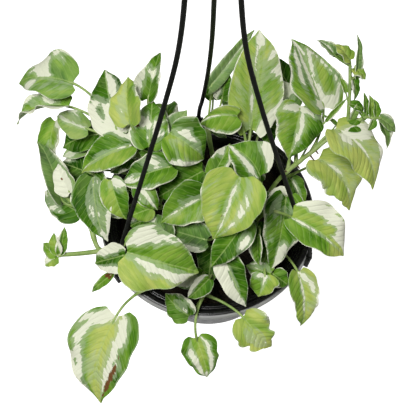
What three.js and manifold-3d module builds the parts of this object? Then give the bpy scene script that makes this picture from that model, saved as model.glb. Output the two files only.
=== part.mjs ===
// A white-variegated small-leaved pothos in a black plastic hanging pot, with its three-legged hanger.
// Millimetres, +Z up. The origin is where the hook bears on whatever it hangs from.
import * as THREE from "three";
import { mergeVertices } from "three/addons/utils/BufferGeometryUtils.js";
import Module from "manifold-3d";

const wasm = await Module();
wasm.setup();

// Pot: a thin-walled cup with a sloping inner lip and a rolled outer bead. Heights are from the rim's top.
const potHeight = 100;
const beadRadius = 90;
const beadDrop = 8;
const mouthRadius = 75.6;
const mouthDepth = 8.6;
const baseRadius = 62.5;
const wallThickness = 2;
const floorThickness = 3;
const potSegments = 32;
const drainHoleRadius = 5;
const drainRingRadius = 44;
const drainHoleCount = 6;

// Potting mix, and the plain holes that the stems stand in.
const soilDepth = 17;
const soilCrown = 2.5;
const soilGap = 0.3;
const stemHoleRadius = 3.1;
const stemHoleDepth = 24;
const stemFootDepth = 22;

// Hanger: a hook with a hub, and three legs that clip over the pot's bead.
const seatHeight = 470;
const hubOffset = { x: 6.3, y: 1.2 };
const hookWire = 2.4;
const hookRadius = 11;
const hookTailDrop = 24;
const hubTopDrop = 44;
const hubHeight = 12;
const hubRadius = 20;
const legWire = 1.75;
const legSocketRadius = 2.2;
const legSocketDepth = 6;
const legTopRadius = 15.5;
const legs = {
  back: { rimAzimuth: 94.3, hubAzimuth: 80 },
  left: { rimAzimuth: 214.3, hubAzimuth: 212 },
  right: { rimAzimuth: -25.7, hubAzimuth: -32 },
};
const clip = { width: 9, thickness: 3, top: 3, drop: 11, toe: 4, gap: 0.3 };

// A leg stands upright in its clip, leans straight inwards, and bends gently to run up beside the hook.
// The lean's slope is in mm inwards for each mm up.
const legFoot = { radius: 92, neckRadius: 91, neckHeight: 20 };
const legLean = { slope: 0.285, bendHeight: 280, softness: 14, from: 45, to: 375, step: 55 };

// Plant.
const stemRadius = 2.2;
const petioleRadius = 1.25;
const bladeThickness = 0.8;
const lobeLength = 0.11;
const tipDroop = 0.05;
const tipHook = 0.03;
const simplifyWithin = 0.15;

// Where a blade has its rows of points, as shares of its length, by its width.
const bladeStations = [
  { upTo: 13.5, stations: [0, 0.45] },
  { upTo: 30, stations: [0, 0.3, 0.7] },
  { upTo: Infinity, stations: [0, 0.2, 0.52, 0.82] },
];

// The view from which places on the plant were measured: pixels of a square picture 416 pixels wide, and
// millimetres from the middle of the rim. It turns such a place into one on the plant, given its height.
const view = { focal: 1103, across: 207.6, down: 215.2, distance: 925, elevation: 65.3, roll: 0.9 };

// Each vine has one or more stems, and leaves. A place is [pixels across, pixels down, millimetres above the
// rim]. A leaf runs from the end of its petiole, base, to its tip; width is in millimetres, roll turns the
// blade about that line and fold lifts its halves, both in degrees; arch bows it up and sway to its right, as
// shares of its length. Late above 1 moves its widest part towards the tip. Its petiole leaves stem number
// "on" at the share "from", and may pass a place, via.
const vines = {
  vine_01: {
    stems: [[[166, 196, -17], [160, 186, 14], [147, 166, 42], [133, 149, 58], [119, 136, 64]]],
    leaves: [
      { base: [73, 83, 80], tip: [18, 81, 66], width: 42, fold: 8, arch: 0.1, sway: 0.04, late: 1.1,
        from: 0.99 },
      { base: [69, 106, 68], tip: [15, 122, 48], width: 36, roll: 22, fold: 40, arch: 0.1, sway: 0.05,
        from: 0.97 },
      { base: [88, 129, 58], tip: [56, 116, 50], width: 24, roll: -20, fold: 24, arch: 0.08, from: 0.94 },
      { base: [55, 121, 43], tip: [51, 170, 24], width: 26, fold: 18, arch: 0.1, from: 0.91 },
      { base: [98, 134, 44], tip: [62, 147, 36], width: 29, fold: 12, arch: 0.1, from: 0.8 },
      { base: [131, 145, 68], tip: [80, 171, 52], width: 30, roll: 4, fold: 14, arch: 0.12, from: 0.7 },
      { base: [117, 131, 72], tip: [105, 68, 80], width: 36, fold: 12, arch: 0.08, from: 0.9 },
      { base: [92, 174, 36], tip: [60, 162, 24], width: 25, fold: 10, arch: 0.05, from: 0.5 },
      { base: [132, 159, 48], tip: [110, 173, 40], width: 22, fold: 35, arch: 0.1, from: 0.55 },
      { base: [102, 170, 34], tip: [76, 177, 28], width: 17, fold: 10, arch: 0.1, from: 0.4 },
      { base: [86, 150, 40], tip: [62, 156, 34], width: 15, fold: 20, arch: 0.08, from: 0.62 },
    ],
  },
  vine_02: {
    stems: [
      [[150, 228, -17], [141, 232, -2], [126, 243, 6], [110, 251, 7], [99, 249, 12], [90, 227, 20],
        [78, 209, 27], [66, 196, 33], [56, 184, 38]],
      [[101, 251, 10], [80, 253.5, 12], [58, 255, 14]],
    ],
    leaves: [
      { base: [62, 200, 30], tip: [39, 140, 48], width: 22, roll: 55, fold: 10, arch: 0.06, from: 0.85 },
      { base: [80, 213, 24], tip: [44, 190, 18], width: 28, fold: 12, arch: 0.08, from: 0.66 },
      { base: [70, 193, 40], tip: [57, 164, 46], width: 18, fold: 10, arch: 0.06, from: 0.95 },
      { base: [60, 253, 16], tip: [65, 227, 26], width: 11, roll: 30, fold: 30, arch: 0.05, on: 1,
        from: 0.95 },
      { base: [58, 253, 16], tip: [53, 233, 24], width: 13, fold: 15, arch: 0.05, on: 1, from: 0.97 },
      { base: [56, 255, 14], tip: [43, 243, 14], width: 13, fold: 10, arch: 0.1, on: 1, from: 0.98 },
      { base: [56, 256, 12], tip: [45, 266, 8], width: 13, fold: 10, arch: 0.1, on: 1, from: 0.99 },
    ],
  },
  vine_03: {
    stems: [[[184, 190, -17], [176, 178, 14], [166, 166, 42], [158, 156, 58], [151, 149, 66]]],
    leaves: [
      { base: [130, 124, 88], tip: [128, 76, 99], width: 34, roll: -15, fold: 28, arch: 0.08, from: 0.98 },
      { base: [148, 99, 90], tip: [160, 52, 106], width: 27, fold: 45, arch: 0.05, from: 0.99 },
      { base: [149, 147, 76], tip: [153, 100, 92], width: 32, fold: 8, arch: 0.05, from: 0.95 },
      { base: [160, 144, 70], tip: [187, 110, 82], width: 25, roll: 20, fold: 14, arch: 0.08, from: 0.9 },
      { base: [170, 133, 88], tip: [205, 159, 66], width: 40, fold: 10, arch: 0.14, from: 0.8 },
      { base: [168, 162, 58], tip: [137, 147, 64], width: 20, fold: 10, arch: 0.05, from: 0.5 },
      { base: [178, 191, 18], tip: [166, 208, 10], width: 18, fold: 10, arch: 0.1, from: 0.3 },
    ],
  },
  vine_04: {
    stems: [[[226, 196, -17], [220, 182, 10], [214, 162, 28], [210, 141, 38], [208, 122, 46]]],
    leaves: [
      { base: [209, 88, 66], tip: [254, 28, 83], width: 16, roll: 30, fold: 30, arch: 0.07,
        via: [210, 104, 56], from: 0.99 },
      { base: [213, 99, 52], tip: [211, 74, 60], width: 15, fold: 20, arch: 0.05, from: 0.97 },
      { base: [222, 99, 58], tip: [227, 71, 70], width: 18, fold: 20, arch: 0.05, from: 0.94 },
      { base: [207, 121, 38], tip: [227, 138, 26], width: 14, fold: 10, arch: 0.05, from: 0.75 },
      { base: [212, 177, 56], tip: [231, 144, 64], width: 18, fold: 16, arch: 0.05, from: 0.4 },
      { base: [189, 165, 46], tip: [208, 175, 40], width: 13, fold: 10, arch: 0.05, from: 0.5 },
      { base: [238, 178, 24], tip: [226, 158, 26], width: 20, fold: 10, arch: 0.1, from: 0.38 },
      { base: [200, 186, 14], tip: [188, 206, 6], width: 20, fold: 10, arch: 0.1, from: 0.34 },
    ],
  },
  vine_05: {
    stems: [[[250, 200, -17], [249, 187, 14], [248, 169, 36], [247, 153, 48]]],
    leaves: [
      { base: [251, 129, 60], tip: [261, 29, 94], width: 46, fold: 12, arch: 0.06, late: 1.25, from: 0.99 },
      { base: [237, 116, 78], tip: [199, 123, 68], width: 30, fold: -35, arch: 0.22, from: 0.97 },
      { base: [260, 176, 66], tip: [228, 146, 76], width: 38, fold: 18, arch: 0.1, sway: 0.1, from: 0.5 },
      { base: [296, 100, 54], tip: [268, 55, 69], width: 29, fold: 12, arch: 0.06, from: 0.9 },
      { base: [267, 118, 50], tip: [270, 150, 40], width: 15, fold: 10, arch: 0.05, from: 0.8 },
      { base: [262, 182, 36], tip: [241, 173, 36], width: 16, fold: 10, arch: 0.05, from: 0.4 },
      { base: [258, 198, 20], tip: [274, 214, 10], width: 21, fold: 10, arch: 0.1, from: 0.25 },
    ],
  },
  vine_06: {
    stems: [
      [[262, 206, -17], [268, 194, 14], [280, 178, 38], [300, 161, 56], [318, 147, 66], [333, 135, 72],
        [346, 125, 77], [349, 104, 88], [350, 84, 98], [350, 64, 106]],
      [[344, 127, 76], [356, 122, 78], [366, 117, 80], [374, 118, 80], [381, 118, 78]],
    ],
    leaves: [
      { base: [300, 106, 84], tip: [288, 158, 68], width: 43, fold: 12, arch: 0.12, from: 0.5 },
      { base: [325, 108, 80], tip: [295, 37, 98], width: 45, fold: 16, arch: 0.06, sway: -0.05, from: 0.58 },
      { base: [292, 108, 63], tip: [283, 80, 69], width: 21, fold: 10, arch: 0.05, from: 0.45 },
      { base: [335, 129, 80], tip: [376, 188, 52], width: 41, fold: 10, arch: 0.12, sway: -0.1, from: 0.6 },
      { base: [346, 127, 78], tip: [366, 128, 72], width: 11, fold: 10, arch: 0.2, from: 0.68 },
      { base: [337, 132, 68], tip: [338, 153, 58], width: 13, fold: 10, arch: 0.1, from: 0.57 },
      { base: [350, 104, 88], tip: [362, 115, 78], width: 9, fold: 10, arch: 0.3, from: 0.8 },
      { base: [353, 77, 98], tip: [355, 101, 88], width: 10, fold: 24, arch: 0.1, from: 0.9 },
      { base: [354, 68, 104], tip: [366, 79, 100], width: 12, fold: 10, arch: 0.1, from: 0.96 },
      { base: [357, 76, 100], tip: [359, 34, 120], width: 9, fold: 30, arch: 0.05, from: 0.94 },
      { base: [347, 61, 106], tip: [329, 54, 104], width: 8, fold: 10, arch: 0.1, from: 0.98 },
      { base: [350, 60, 108], tip: [334, 44, 114], width: 15, fold: 16, arch: 0.1, from: 0.99 },
      { base: [334, 54, 111], tip: [317, 40, 112], width: 12, fold: 20, arch: 0.1, from: 0.995 },
      { base: [366, 114, 80], tip: [364, 92, 88], width: 7, fold: 30, arch: 0.05, on: 1, from: 0.6 },
      { base: [371, 116, 80], tip: [370, 95, 90], width: 10, fold: 30, arch: 0.05, on: 1, from: 0.75 },
      { base: [376, 116, 80], tip: [375, 99, 88], width: 8, fold: 30, arch: 0.05, on: 1, from: 0.85 },
      { base: [380, 118, 78], tip: [396, 132, 66], width: 13, fold: 20, arch: 0.08, on: 1, from: 0.95 },
      { base: [380, 119, 76], tip: [388, 149, 58], width: 13, fold: 24, arch: 0.08, on: 1, from: 0.97 },
    ],
  },
  vine_07: {
    stems: [[[280, 214, -17], [286, 202, -2], [289, 189, 10], [288, 176, 18]]],
    leaves: [
      { base: [318, 159, 56], tip: [350, 211, 30], width: 44, fold: 10, arch: 0.1, sway: -0.14,
        via: [301, 170, 36], from: 0.99 },
      { base: [291, 179, 20], tip: [304, 207, 10], width: 18, fold: 22, arch: 0.08, from: 0.85 },
      { base: [287, 196, 42], tip: [268, 195, 38], width: 15, fold: 10, arch: 0.1, from: 0.7 },
    ],
  },
  vine_08: {
    stems: [[[252, 237, -17], [255, 222, 18], [264, 214, 40], [276, 211, 52]]],
    leaves: [
      { base: [292, 217, 84], tip: [345, 256, 60], width: 37, fold: 12, arch: 0.1, sway: -0.05,
        late: 1.2, via: [286, 214, 74], from: 0.98 },
      { base: [286, 197, 50], tip: [272, 270, 24], width: 38, roll: -10, fold: 12, arch: 0.1,
        sway: 0.02, from: 0.9 },
      { base: [258, 236, 52], tip: [259, 266, 36], width: 16, roll: 30, fold: 50, arch: 0.08, from: 0.55 },
      { base: [270, 238, 34], tip: [262, 266, 24], width: 18, fold: 10, arch: 0.08, from: 0.5 },
      { base: [271, 273, 20], tip: [246, 266, 22], width: 20, fold: 15, arch: 0.1, from: 0.4 },
      { base: [265, 275, 26], tip: [259, 297, 18], width: 24, fold: 8, arch: 0.1, from: 0.38 },
      { base: [273, 274, 16], tip: [288, 285, 8], width: 17, fold: 8, arch: 0.1, from: 0.36 },
      { base: [298, 272, 8], tip: [302, 327, -26], width: 28, fold: 24, arch: 0.08, sway: -0.06, from: 0.34 },
      { base: [258, 222, 34], tip: [252, 246, 26], width: 22, fold: 10, arch: 0.08, from: 0.4 },
      { base: [280, 226, 12], tip: [290, 244, 4], width: 17, fold: 10, arch: 0.1, from: 0.32 },
    ],
  },
  vine_09: {
    stems: [[[212, 266, -17], [210, 277, -5], [207, 287, 0], [204, 295, 2]]],
    leaves: [
      { base: [243, 317, 4], tip: [271, 348, -18], width: 33, fold: 12, arch: 0.14, from: 0.99 },
      { base: [189, 316, 6], tip: [165, 294, 12], width: 25, fold: 20, arch: 0.14, from: 0.97 },
      { base: [196, 338, -12], tip: [208, 378, -36], width: 31, fold: 10, arch: 0.1, sway: -0.04,
        via: [191, 318, 9], from: 0.98 },
      { base: [209, 279, 34], tip: [188, 299, 20], width: 16, fold: 20, arch: 0.06, from: 0.7 },
      { base: [202, 274, 30], tip: [177, 287, 24], width: 17, fold: 10, arch: 0.06, from: 0.6 },
      { base: [212, 245, 28], tip: [208, 286, 18], width: 22, fold: 12, arch: 0.08, from: 0.3 },
      { base: [224, 257, 50], tip: [245, 308, 22], width: 24, fold: 15, arch: 0.08, late: 0.9, from: 0.45 },
    ],
  },
  vine_10: {
    stems: [[[168, 250, -17], [161, 263, 2], [151, 277, 9], [142, 291, 9]]],
    leaves: [
      { base: [117, 316, -4], tip: [98, 404, -40], width: 57, fold: 10, arch: 0.08, sway: 0.08, from: 0.99 },
      { base: [127, 252, 74], tip: [200, 271, 58], width: 52, fold: 12, arch: 0.1, late: 0.9,
        via: [138, 264, 46], from: 0.5 },
      { base: [125, 255, 52], tip: [94, 263, 38], width: 24, fold: 14, arch: 0.1, from: 0.6 },
      { base: [112, 274, 26], tip: [91, 292, 14], width: 9, fold: 30, arch: 0.1, from: 0.8 },
      { base: [176, 258, 10], tip: [190, 274, 6], width: 20, fold: 10, arch: 0.1, from: 0.3 },
    ],
  },
  vine_11: {
    stems: [[[180, 220, -17], [171, 213, 16], [161, 206, 38], [152, 200, 50]]],
    leaves: [
      { base: [172, 166, 72], tip: [121, 185, 58], width: 29, fold: 14, arch: 0.12, from: 0.9 },
      { base: [203, 171, 60], tip: [158, 198, 52], width: 38, fold: 14, arch: 0.08, from: 0.4 },
      { base: [111, 180, 58], tip: [125, 220, 40], width: 24, fold: 15, arch: 0.1, from: 0.98 },
      { base: [125, 206, 38], tip: [107, 213, 32], width: 18, fold: 10, arch: 0.08, from: 0.8 },
      { base: [139, 184, 66], tip: [158, 210, 54], width: 20, fold: 15, arch: 0.08, from: 0.95 },
      { base: [152, 208, 54], tip: [131, 216, 46], width: 19, fold: 10, arch: 0.08, from: 0.7 },
      { base: [93, 177, 48], tip: [105, 242, 26], width: 35, fold: 16, arch: 0.1, from: 0.96 },
      { base: [166, 240, 44], tip: [150, 214, 48], width: 25, fold: 10, arch: 0.08, from: 0.3 },
      { base: [122, 186, 42], tip: [112, 206, 34], width: 18, fold: 10, arch: 0.1, from: 0.9 },
      { base: [150, 218, 22], tip: [130, 226, 14], width: 20, fold: 10, arch: 0.1, from: 0.4 },
    ],
  },
  vine_12: {
    stems: [[[224, 222, -17], [228, 213, 20], [234, 201, 48], [239, 192, 64]]],
    leaves: [
      { base: [240, 177, 92], tip: [215, 240, 70], width: 51, fold: 10, arch: 0.1, from: 0.99 },
      { base: [206, 196, 64], tip: [160, 221, 56], width: 34, fold: 14, arch: 0.08, from: 0.7 },
      { base: [207, 240, 46], tip: [168, 229, 40], width: 26, fold: 12, arch: 0.08, from: 0.4 },
      { base: [245, 222, 64], tip: [211, 267, 54], width: 31, fold: 20, arch: 0.1, from: 0.6 },
      { base: [216, 214, 34], tip: [196, 232, 26], width: 24, fold: 10, arch: 0.1, from: 0.35 },
    ],
  },
  vine_13: {
    stems: [[[244, 162, -17], [247, 148, 0], [250, 134, 9], [254, 122, 14], [262, 112, 15]]],
    leaves: [
      { base: [264, 112, 18], tip: [285, 99, -2], width: 28, roll: -12, fold: 12, arch: 0.14, from: 0.98 },
      { base: [252, 114, 22], tip: [247, 90, 4], width: 31, roll: 8, fold: 10, arch: 0.16, from: 0.85 },
      { base: [240, 118, 14], tip: [226, 102, -10], width: 23, fold: 22, arch: 0.14, from: 0.75 },
      { base: [276, 122, 24], tip: [304, 115, 10], width: 26, roll: -18, fold: 12, arch: 0.12, from: 0.8 },
      { base: [262, 106, 28], tip: [271, 84, 22], width: 22, fold: 12, arch: 0.1, from: 0.95 },
    ],
  },
  vine_14: {
    stems: [[[186, 160, -17], [182, 150, -2], [176, 141, 7], [168, 133, 11], [160, 128, 11]]],
    leaves: [
      { base: [158, 127, 16], tip: [142, 108, 2], width: 28, roll: 10, fold: 12, arch: 0.14, from: 0.98 },
      { base: [168, 124, 12], tip: [169, 104, -9], width: 21, fold: 20, arch: 0.14, from: 0.9 },
      { base: [150, 138, 18], tip: [124, 135, 5], width: 28, roll: 16, fold: 10, arch: 0.14, from: 0.8 },
      { base: [142, 150, 12], tip: [118, 157, -8], width: 23, fold: 16, arch: 0.14, from: 0.7 },
    ],
  },
};

const finish = {
  pot: new THREE.MeshStandardMaterial({ color: 0x141414, roughness: 0.35, metalness: 0 }),
  soil: new THREE.MeshStandardMaterial({ color: 0x2a1f16, roughness: 0.95, metalness: 0 }),
  hanger: new THREE.MeshStandardMaterial({ color: 0x101010, roughness: 0.45, metalness: 0 }),
  leaf: new THREE.MeshStandardMaterial({ color: 0x6d9a3c, roughness: 0.5, metalness: 0 }),
};

// Solids for joining and cutting.
function solid(geometry) {
  const bare = new THREE.BufferGeometry();
  bare.setAttribute("position", geometry.getAttribute("position"));
  if (geometry.index) bare.setIndex(geometry.index);
  const merged = mergeVertices(bare, 1e-3);
  return new wasm.Manifold(
    new wasm.Mesh({
      numProp: 3,
      vertProperties: new Float32Array(merged.getAttribute("position").array),
      triVerts: new Uint32Array(merged.index.array),
    }),
  );
}

function geometryOf(made) {
  const { vertProperties, triVerts } = made.getMesh();
  const geometry = new THREE.BufferGeometry();
  geometry.setAttribute("position", new THREE.BufferAttribute(vertProperties, 3));
  geometry.setIndex(new THREE.BufferAttribute(triVerts, 1));
  return geometry;
}

function named(name, geometry, material) {
  const mesh = new THREE.Mesh(geometry, material);
  mesh.name = name;
  return mesh;
}

function lathe(profile, segments) {
  const points = profile.map(([radius, height]) => new THREE.Vector2(radius, height));
  return new THREE.LatheGeometry(points, segments).rotateX(Math.PI / 2);
}

function upright(radius, from, to, segments) {
  const post = new THREE.CylinderGeometry(radius, radius, to - from, segments).rotateX(Math.PI / 2);
  return post.translate(0, 0, (from + to) / 2);
}

function tube(route, radius, sides, steps) {
  const section = new THREE.Shape();
  for (let i = 0; i < sides; i++) {
    const turn = (i / sides) * 2 * Math.PI;
    section[i ? "lineTo" : "moveTo"](radius * Math.cos(turn), radius * Math.sin(turn));
  }
  section.closePath();
  return new THREE.ExtrudeGeometry(section, { steps, extrudePath: route });
}

// A place in the measured view, put at its height.
function seen([across, down, height]) {
  const elevation = THREE.MathUtils.degToRad(view.elevation);
  const roll = THREE.MathUtils.degToRad(view.roll);
  const right = across - view.across;
  const up = view.down - down;
  const side = Math.cos(roll) * right + Math.sin(roll) * up;
  const slope = (Math.cos(roll) * up - Math.sin(roll) * right) / view.focal;
  const sine = Math.sin(elevation);
  const cosine = Math.cos(elevation);
  const y = (slope * (view.distance - height * sine) - height * cosine) / (sine - slope * cosine);
  const depth = view.distance - height * sine + y * cosine;
  return new THREE.Vector3((side * depth) / view.focal, y, height);
}

// Pot.
function wallRadius(height) {
  const slope = (mouthRadius + wallThickness - baseRadius) / (potHeight - mouthDepth);
  return baseRadius + slope * (height + potHeight) - wallThickness;
}

function pot() {
  const lipFoot = wallRadius(-mouthDepth - wallThickness) + wallThickness;
  const profile = [
    [0, -potHeight],
    [baseRadius - 2.5, -potHeight],
    [baseRadius, 2.5 - potHeight],
    [lipFoot, -mouthDepth - wallThickness],
    [beadRadius - 3.4, -3.8],
    [beadRadius - 2.4, -4.6],
    [beadRadius - 2.2, -beadDrop],
    [beadRadius, -beadDrop],
    [beadRadius, -1.6],
    [beadRadius - 1.2, -0.2],
    [beadRadius - 3.4, 0],
    [beadRadius - 4.6, -0.8],
    [mouthRadius + 1.6, 2 - mouthDepth],
    [mouthRadius, -mouthDepth],
    [wallRadius(floorThickness - potHeight), floorThickness - potHeight],
    [0, floorThickness - potHeight],
  ];
  let cup = solid(lathe(profile, potSegments));
  for (let i = 0; i < drainHoleCount; i++) {
    const turn = (i / drainHoleCount) * 2 * Math.PI;
    const drill = upright(drainHoleRadius, -potHeight - 2, floorThickness - potHeight + 2, 10);
    drill.translate(drainRingRadius * Math.cos(turn), drainRingRadius * Math.sin(turn), 0);
    cup = cup.subtract(solid(drill));
  }
  return geometryOf(cup);
}

// Soil.
function soil() {
  const bottom = floorThickness + soilGap - potHeight;
  const profile = [
    [0, bottom],
    [wallRadius(bottom) - soilGap, bottom],
    [wallRadius(-soilDepth) - soilGap, -soilDepth],
    [60, -soilDepth + 0.6 * soilCrown],
    [30, -soilDepth + soilCrown],
    [0, -soilDepth + soilCrown],
  ];
  let mix = solid(lathe(profile, potSegments));
  for (const { stems } of Object.values(vines)) {
    const foot = seen(stems[0][0]);
    const drill = upright(stemHoleRadius, -soilDepth - stemHoleDepth, 0, 6).translate(foot.x, foot.y, 0);
    mix = mix.subtract(solid(drill));
  }
  return geometryOf(mix);
}

// Hanger.
function hookAndHub() {
  const hubTop = seatHeight - hubTopDrop;
  const bow = hookRadius + hookWire;
  const crown = seatHeight - hookRadius;
  const route = [
    new THREE.Vector3(0, 0, hubTop - 6),
    new THREE.Vector3(0, 0, hubTop + 4),
    new THREE.Vector3(0.55 * bow, 0, crown - 1.6 * bow),
  ];
  for (let i = 0; i <= 8; i++) {
    const turn = (-0.12 + (i / 8) * 1.12) * Math.PI;
    route.push(new THREE.Vector3(bow * Math.cos(turn), 0, crown + bow * Math.sin(turn)));
  }
  route.push(new THREE.Vector3(-bow - 0.8, 0, seatHeight - hookTailDrop));
  const wire = solid(tube(new THREE.CatmullRomCurve3(route, false, "centripetal"), hookWire, 7, 18));
  const hubProfile = [
    [0, hubTop - hubHeight],
    [hubRadius - 1, hubTop - hubHeight],
    [hubRadius, hubTop - hubHeight + 1],
    [hubRadius - 1, hubTop - 5],
    [hookWire + 2, hubTop],
    [0, hubTop],
  ];
  let hub = solid(lathe(hubProfile, 20)).add(wire);
  for (const { hubAzimuth } of Object.values(legs)) {
    const turn = THREE.MathUtils.degToRad(hubAzimuth);
    const hole = upright(legSocketRadius, hubTop - hubHeight - 2, hubTop - hubHeight + legSocketDepth, 10);
    hole.translate(legTopRadius * Math.cos(turn), legTopRadius * Math.sin(turn), 0);
    hub = hub.subtract(solid(hole));
  }
  return geometryOf(hub).translate(hubOffset.x, hubOffset.y, 0);
}

function legRadius(height) {
  const past = legLean.slope * (legLean.bendHeight - height);
  return legTopRadius + (past + Math.hypot(past, legLean.softness)) / 2;
}

function leg({ rimAzimuth, hubAzimuth }) {
  const hubFoot = seatHeight - hubTopDrop - hubHeight;
  const at = (radius, height) => {
    const share = THREE.MathUtils.clamp(height / hubFoot, 0, 1);
    const turn = THREE.MathUtils.degToRad(rimAzimuth + share * (hubAzimuth - rimAzimuth));
    return new THREE.Vector3(
      radius * Math.cos(turn) + share * hubOffset.x,
      radius * Math.sin(turn) + share * hubOffset.y,
      height,
    );
  };
  const route = [at(legFoot.radius, 0), at(legFoot.neckRadius, legFoot.neckHeight)];
  for (let height = legLean.from; height <= legLean.to; height += legLean.step) {
    route.push(at(legRadius(height), height));
  }
  route.push(at(legTopRadius, hubFoot - 6), at(legTopRadius, hubFoot + legSocketDepth - clip.gap));
  const strand = solid(tube(new THREE.CatmullRomCurve3(route, false, "centripetal"), legWire, 6, 15));

  const inner = beadRadius + clip.gap;
  const outer = inner + clip.thickness;
  const outline = new THREE.Shape();
  outline.moveTo(inner, clip.top);
  outline.lineTo(inner, -beadDrop - clip.gap);
  outline.lineTo(inner - clip.toe + 1.4, -beadDrop - clip.gap);
  outline.lineTo(inner - clip.toe + 1.4, -clip.drop + 1);
  outline.lineTo(outer - 1, -clip.drop);
  outline.lineTo(outer, -clip.drop + 1);
  outline.lineTo(outer, clip.top - 1);
  outline.lineTo(outer - 1, clip.top);
  const plate = new THREE.ExtrudeGeometry(outline, { depth: clip.width, bevelEnabled: false });
  plate.translate(0, 0, -clip.width / 2).rotateX(Math.PI / 2).rotateZ(THREE.MathUtils.degToRad(rimAzimuth));
  return geometryOf(strand.add(solid(plate)));
}

// Leaves. A blade is heart-shaped: full near its petiole, with two lobes behind it, and drawn to a tip that
// droops and hooks to one side or the other.
function halfWidth(share, late) {
  const place = Math.pow(share, late);
  const rise = Math.pow(Math.max(0, 1 - place / 0.36), 2.2);
  const shoulder = 0.36 + 0.64 * Math.pow(1 - rise, 0.6);
  return 1.1 * shoulder * Math.pow(1 - Math.pow(place, 2.6), 0.95);
}

function bladeFrame(leaf) {
  const base = seen(leaf.base);
  const axis = seen(leaf.tip).sub(base);
  const length = axis.length();
  axis.normalize();
  const outward = new THREE.Vector3(base.x, base.y, 0).multiplyScalar(0.004);
  const facing = new THREE.Vector3(0, -0.3, 1).add(outward);
  const normal = facing.addScaledVector(axis, -facing.dot(axis)).normalize();
  normal.applyAxisAngle(axis, THREE.MathUtils.degToRad(leaf.roll ?? 0));
  const side = new THREE.Vector3().crossVectors(axis, normal);
  return { base, axis, side, normal, length };
}

// A point of the blade's middle surface: along from petiole to tip, 0 to 1, and across from -1 to 1.
function bladePoint(leaf, frame, along, across) {
  const fold = THREE.MathUtils.degToRad(leaf.fold ?? 0);
  const reach = (leaf.width / 2) * halfWidth(along, leaf.late ?? 1) * across;
  const lobe = lobeLength * Math.pow(Math.abs(across), 1.6) * Math.pow(1 - along, 4);
  const bow = 4 * frame.length * along * (1 - along);
  const tip = Math.pow(Math.max(0, (along - 0.7) / 0.3), 2) * frame.length;
  const sway = (leaf.sway ?? 0) * bow + tipHook * Math.sin(leaf.base[0]) * tip;
  const rise = leaf.arch * bow - tipDroop * tip;
  return frame.base
    .clone()
    .addScaledVector(frame.axis, (along - lobe) * frame.length)
    .addScaledVector(frame.side, sway + reach * Math.cos(fold))
    .addScaledVector(frame.normal, rise + Math.abs(reach) * Math.sin(fold));
}

function blade(leaf, frame) {
  const { stations } = bladeStations.find(({ upTo }) => leaf.width < upTo);
  const places = [-1, 0, 1];
  const columns = places.length;
  const middle = stations.flatMap((along) => places.map((across) => bladePoint(leaf, frame, along, across)));
  middle.push(bladePoint(leaf, frame, 1, 0));
  const tip = middle.length - 1;

  const faces = [];
  stations.forEach((_, row) => {
    for (let column = 0; column < columns - 1; column++) {
      const here = row * columns + column;
      const next = here + columns;
      if (row === stations.length - 1) faces.push([here, here + 1, tip]);
      else if (column < (columns - 1) / 2) faces.push([here, here + 1, next + 1], [here, next + 1, next]);
      else faces.push([here, here + 1, next], [here + 1, next + 1, next]);
    }
  });

  const normals = middle.map(() => new THREE.Vector3());
  const flat = faces.map(([a, b, c]) => {
    const ab = middle[b].clone().sub(middle[a]);
    const facing = ab.cross(middle[c].clone().sub(middle[a])).normalize();
    [a, b, c].forEach((corner) => normals[corner].add(facing));
    return facing;
  });
  normals.forEach((normal) => normal.normalize());
  const reach = middle.map(() => 1);
  faces.forEach((face, i) =>
    face.forEach((corner) => {
      reach[corner] = Math.min(reach[corner], Math.max(0.45, normals[corner].dot(flat[i])));
    }),
  );

  const count = middle.length;
  const positions = [];
  for (const sign of [1, -1]) {
    middle.forEach((point, i) => {
      const offset = (sign * bladeThickness) / 2 / reach[i];
      positions.push(...point.clone().addScaledVector(normals[i], offset).toArray());
    });
  }
  const rim = [];
  for (let column = 0; column < columns; column++) rim.push(column);
  for (let row = 1; row < stations.length; row++) rim.push(row * columns + columns - 1);
  rim.push(tip);
  for (let row = stations.length - 1; row > 0; row--) rim.push(row * columns);
  const index = faces.flatMap(([a, b, c]) => [a, b, c, a + count, c + count, b + count]);
  rim.forEach((from, i) => {
    const to = rim[(i + 1) % rim.length];
    index.push(from, from + count, to + count, from, to + count, to);
  });
  const geometry = new THREE.BufferGeometry();
  geometry.setAttribute("position", new THREE.Float32BufferAttribute(positions, 3));
  geometry.setIndex(index);
  return geometry;
}

function petiole(leaf, frame, stem) {
  const start = stem.getPointAt(leaf.from);
  const end = bladePoint(leaf, frame, 0.06, 0);
  const span = start.distanceTo(end);
  const behind = Math.max(0, end.clone().sub(start).dot(frame.axis) / span);
  const bend = leaf.via
    ? seen(leaf.via)
    : frame.base
        .clone()
        .addScaledVector(frame.axis, -(0.08 + 0.27 * behind) * span)
        .addScaledVector(frame.normal, -(0.3 - 0.15 * behind) * span);
  const route = new THREE.QuadraticBezierCurve3(start, bend, end);
  return tube(route, petioleRadius, 3, 2);
}

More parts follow.
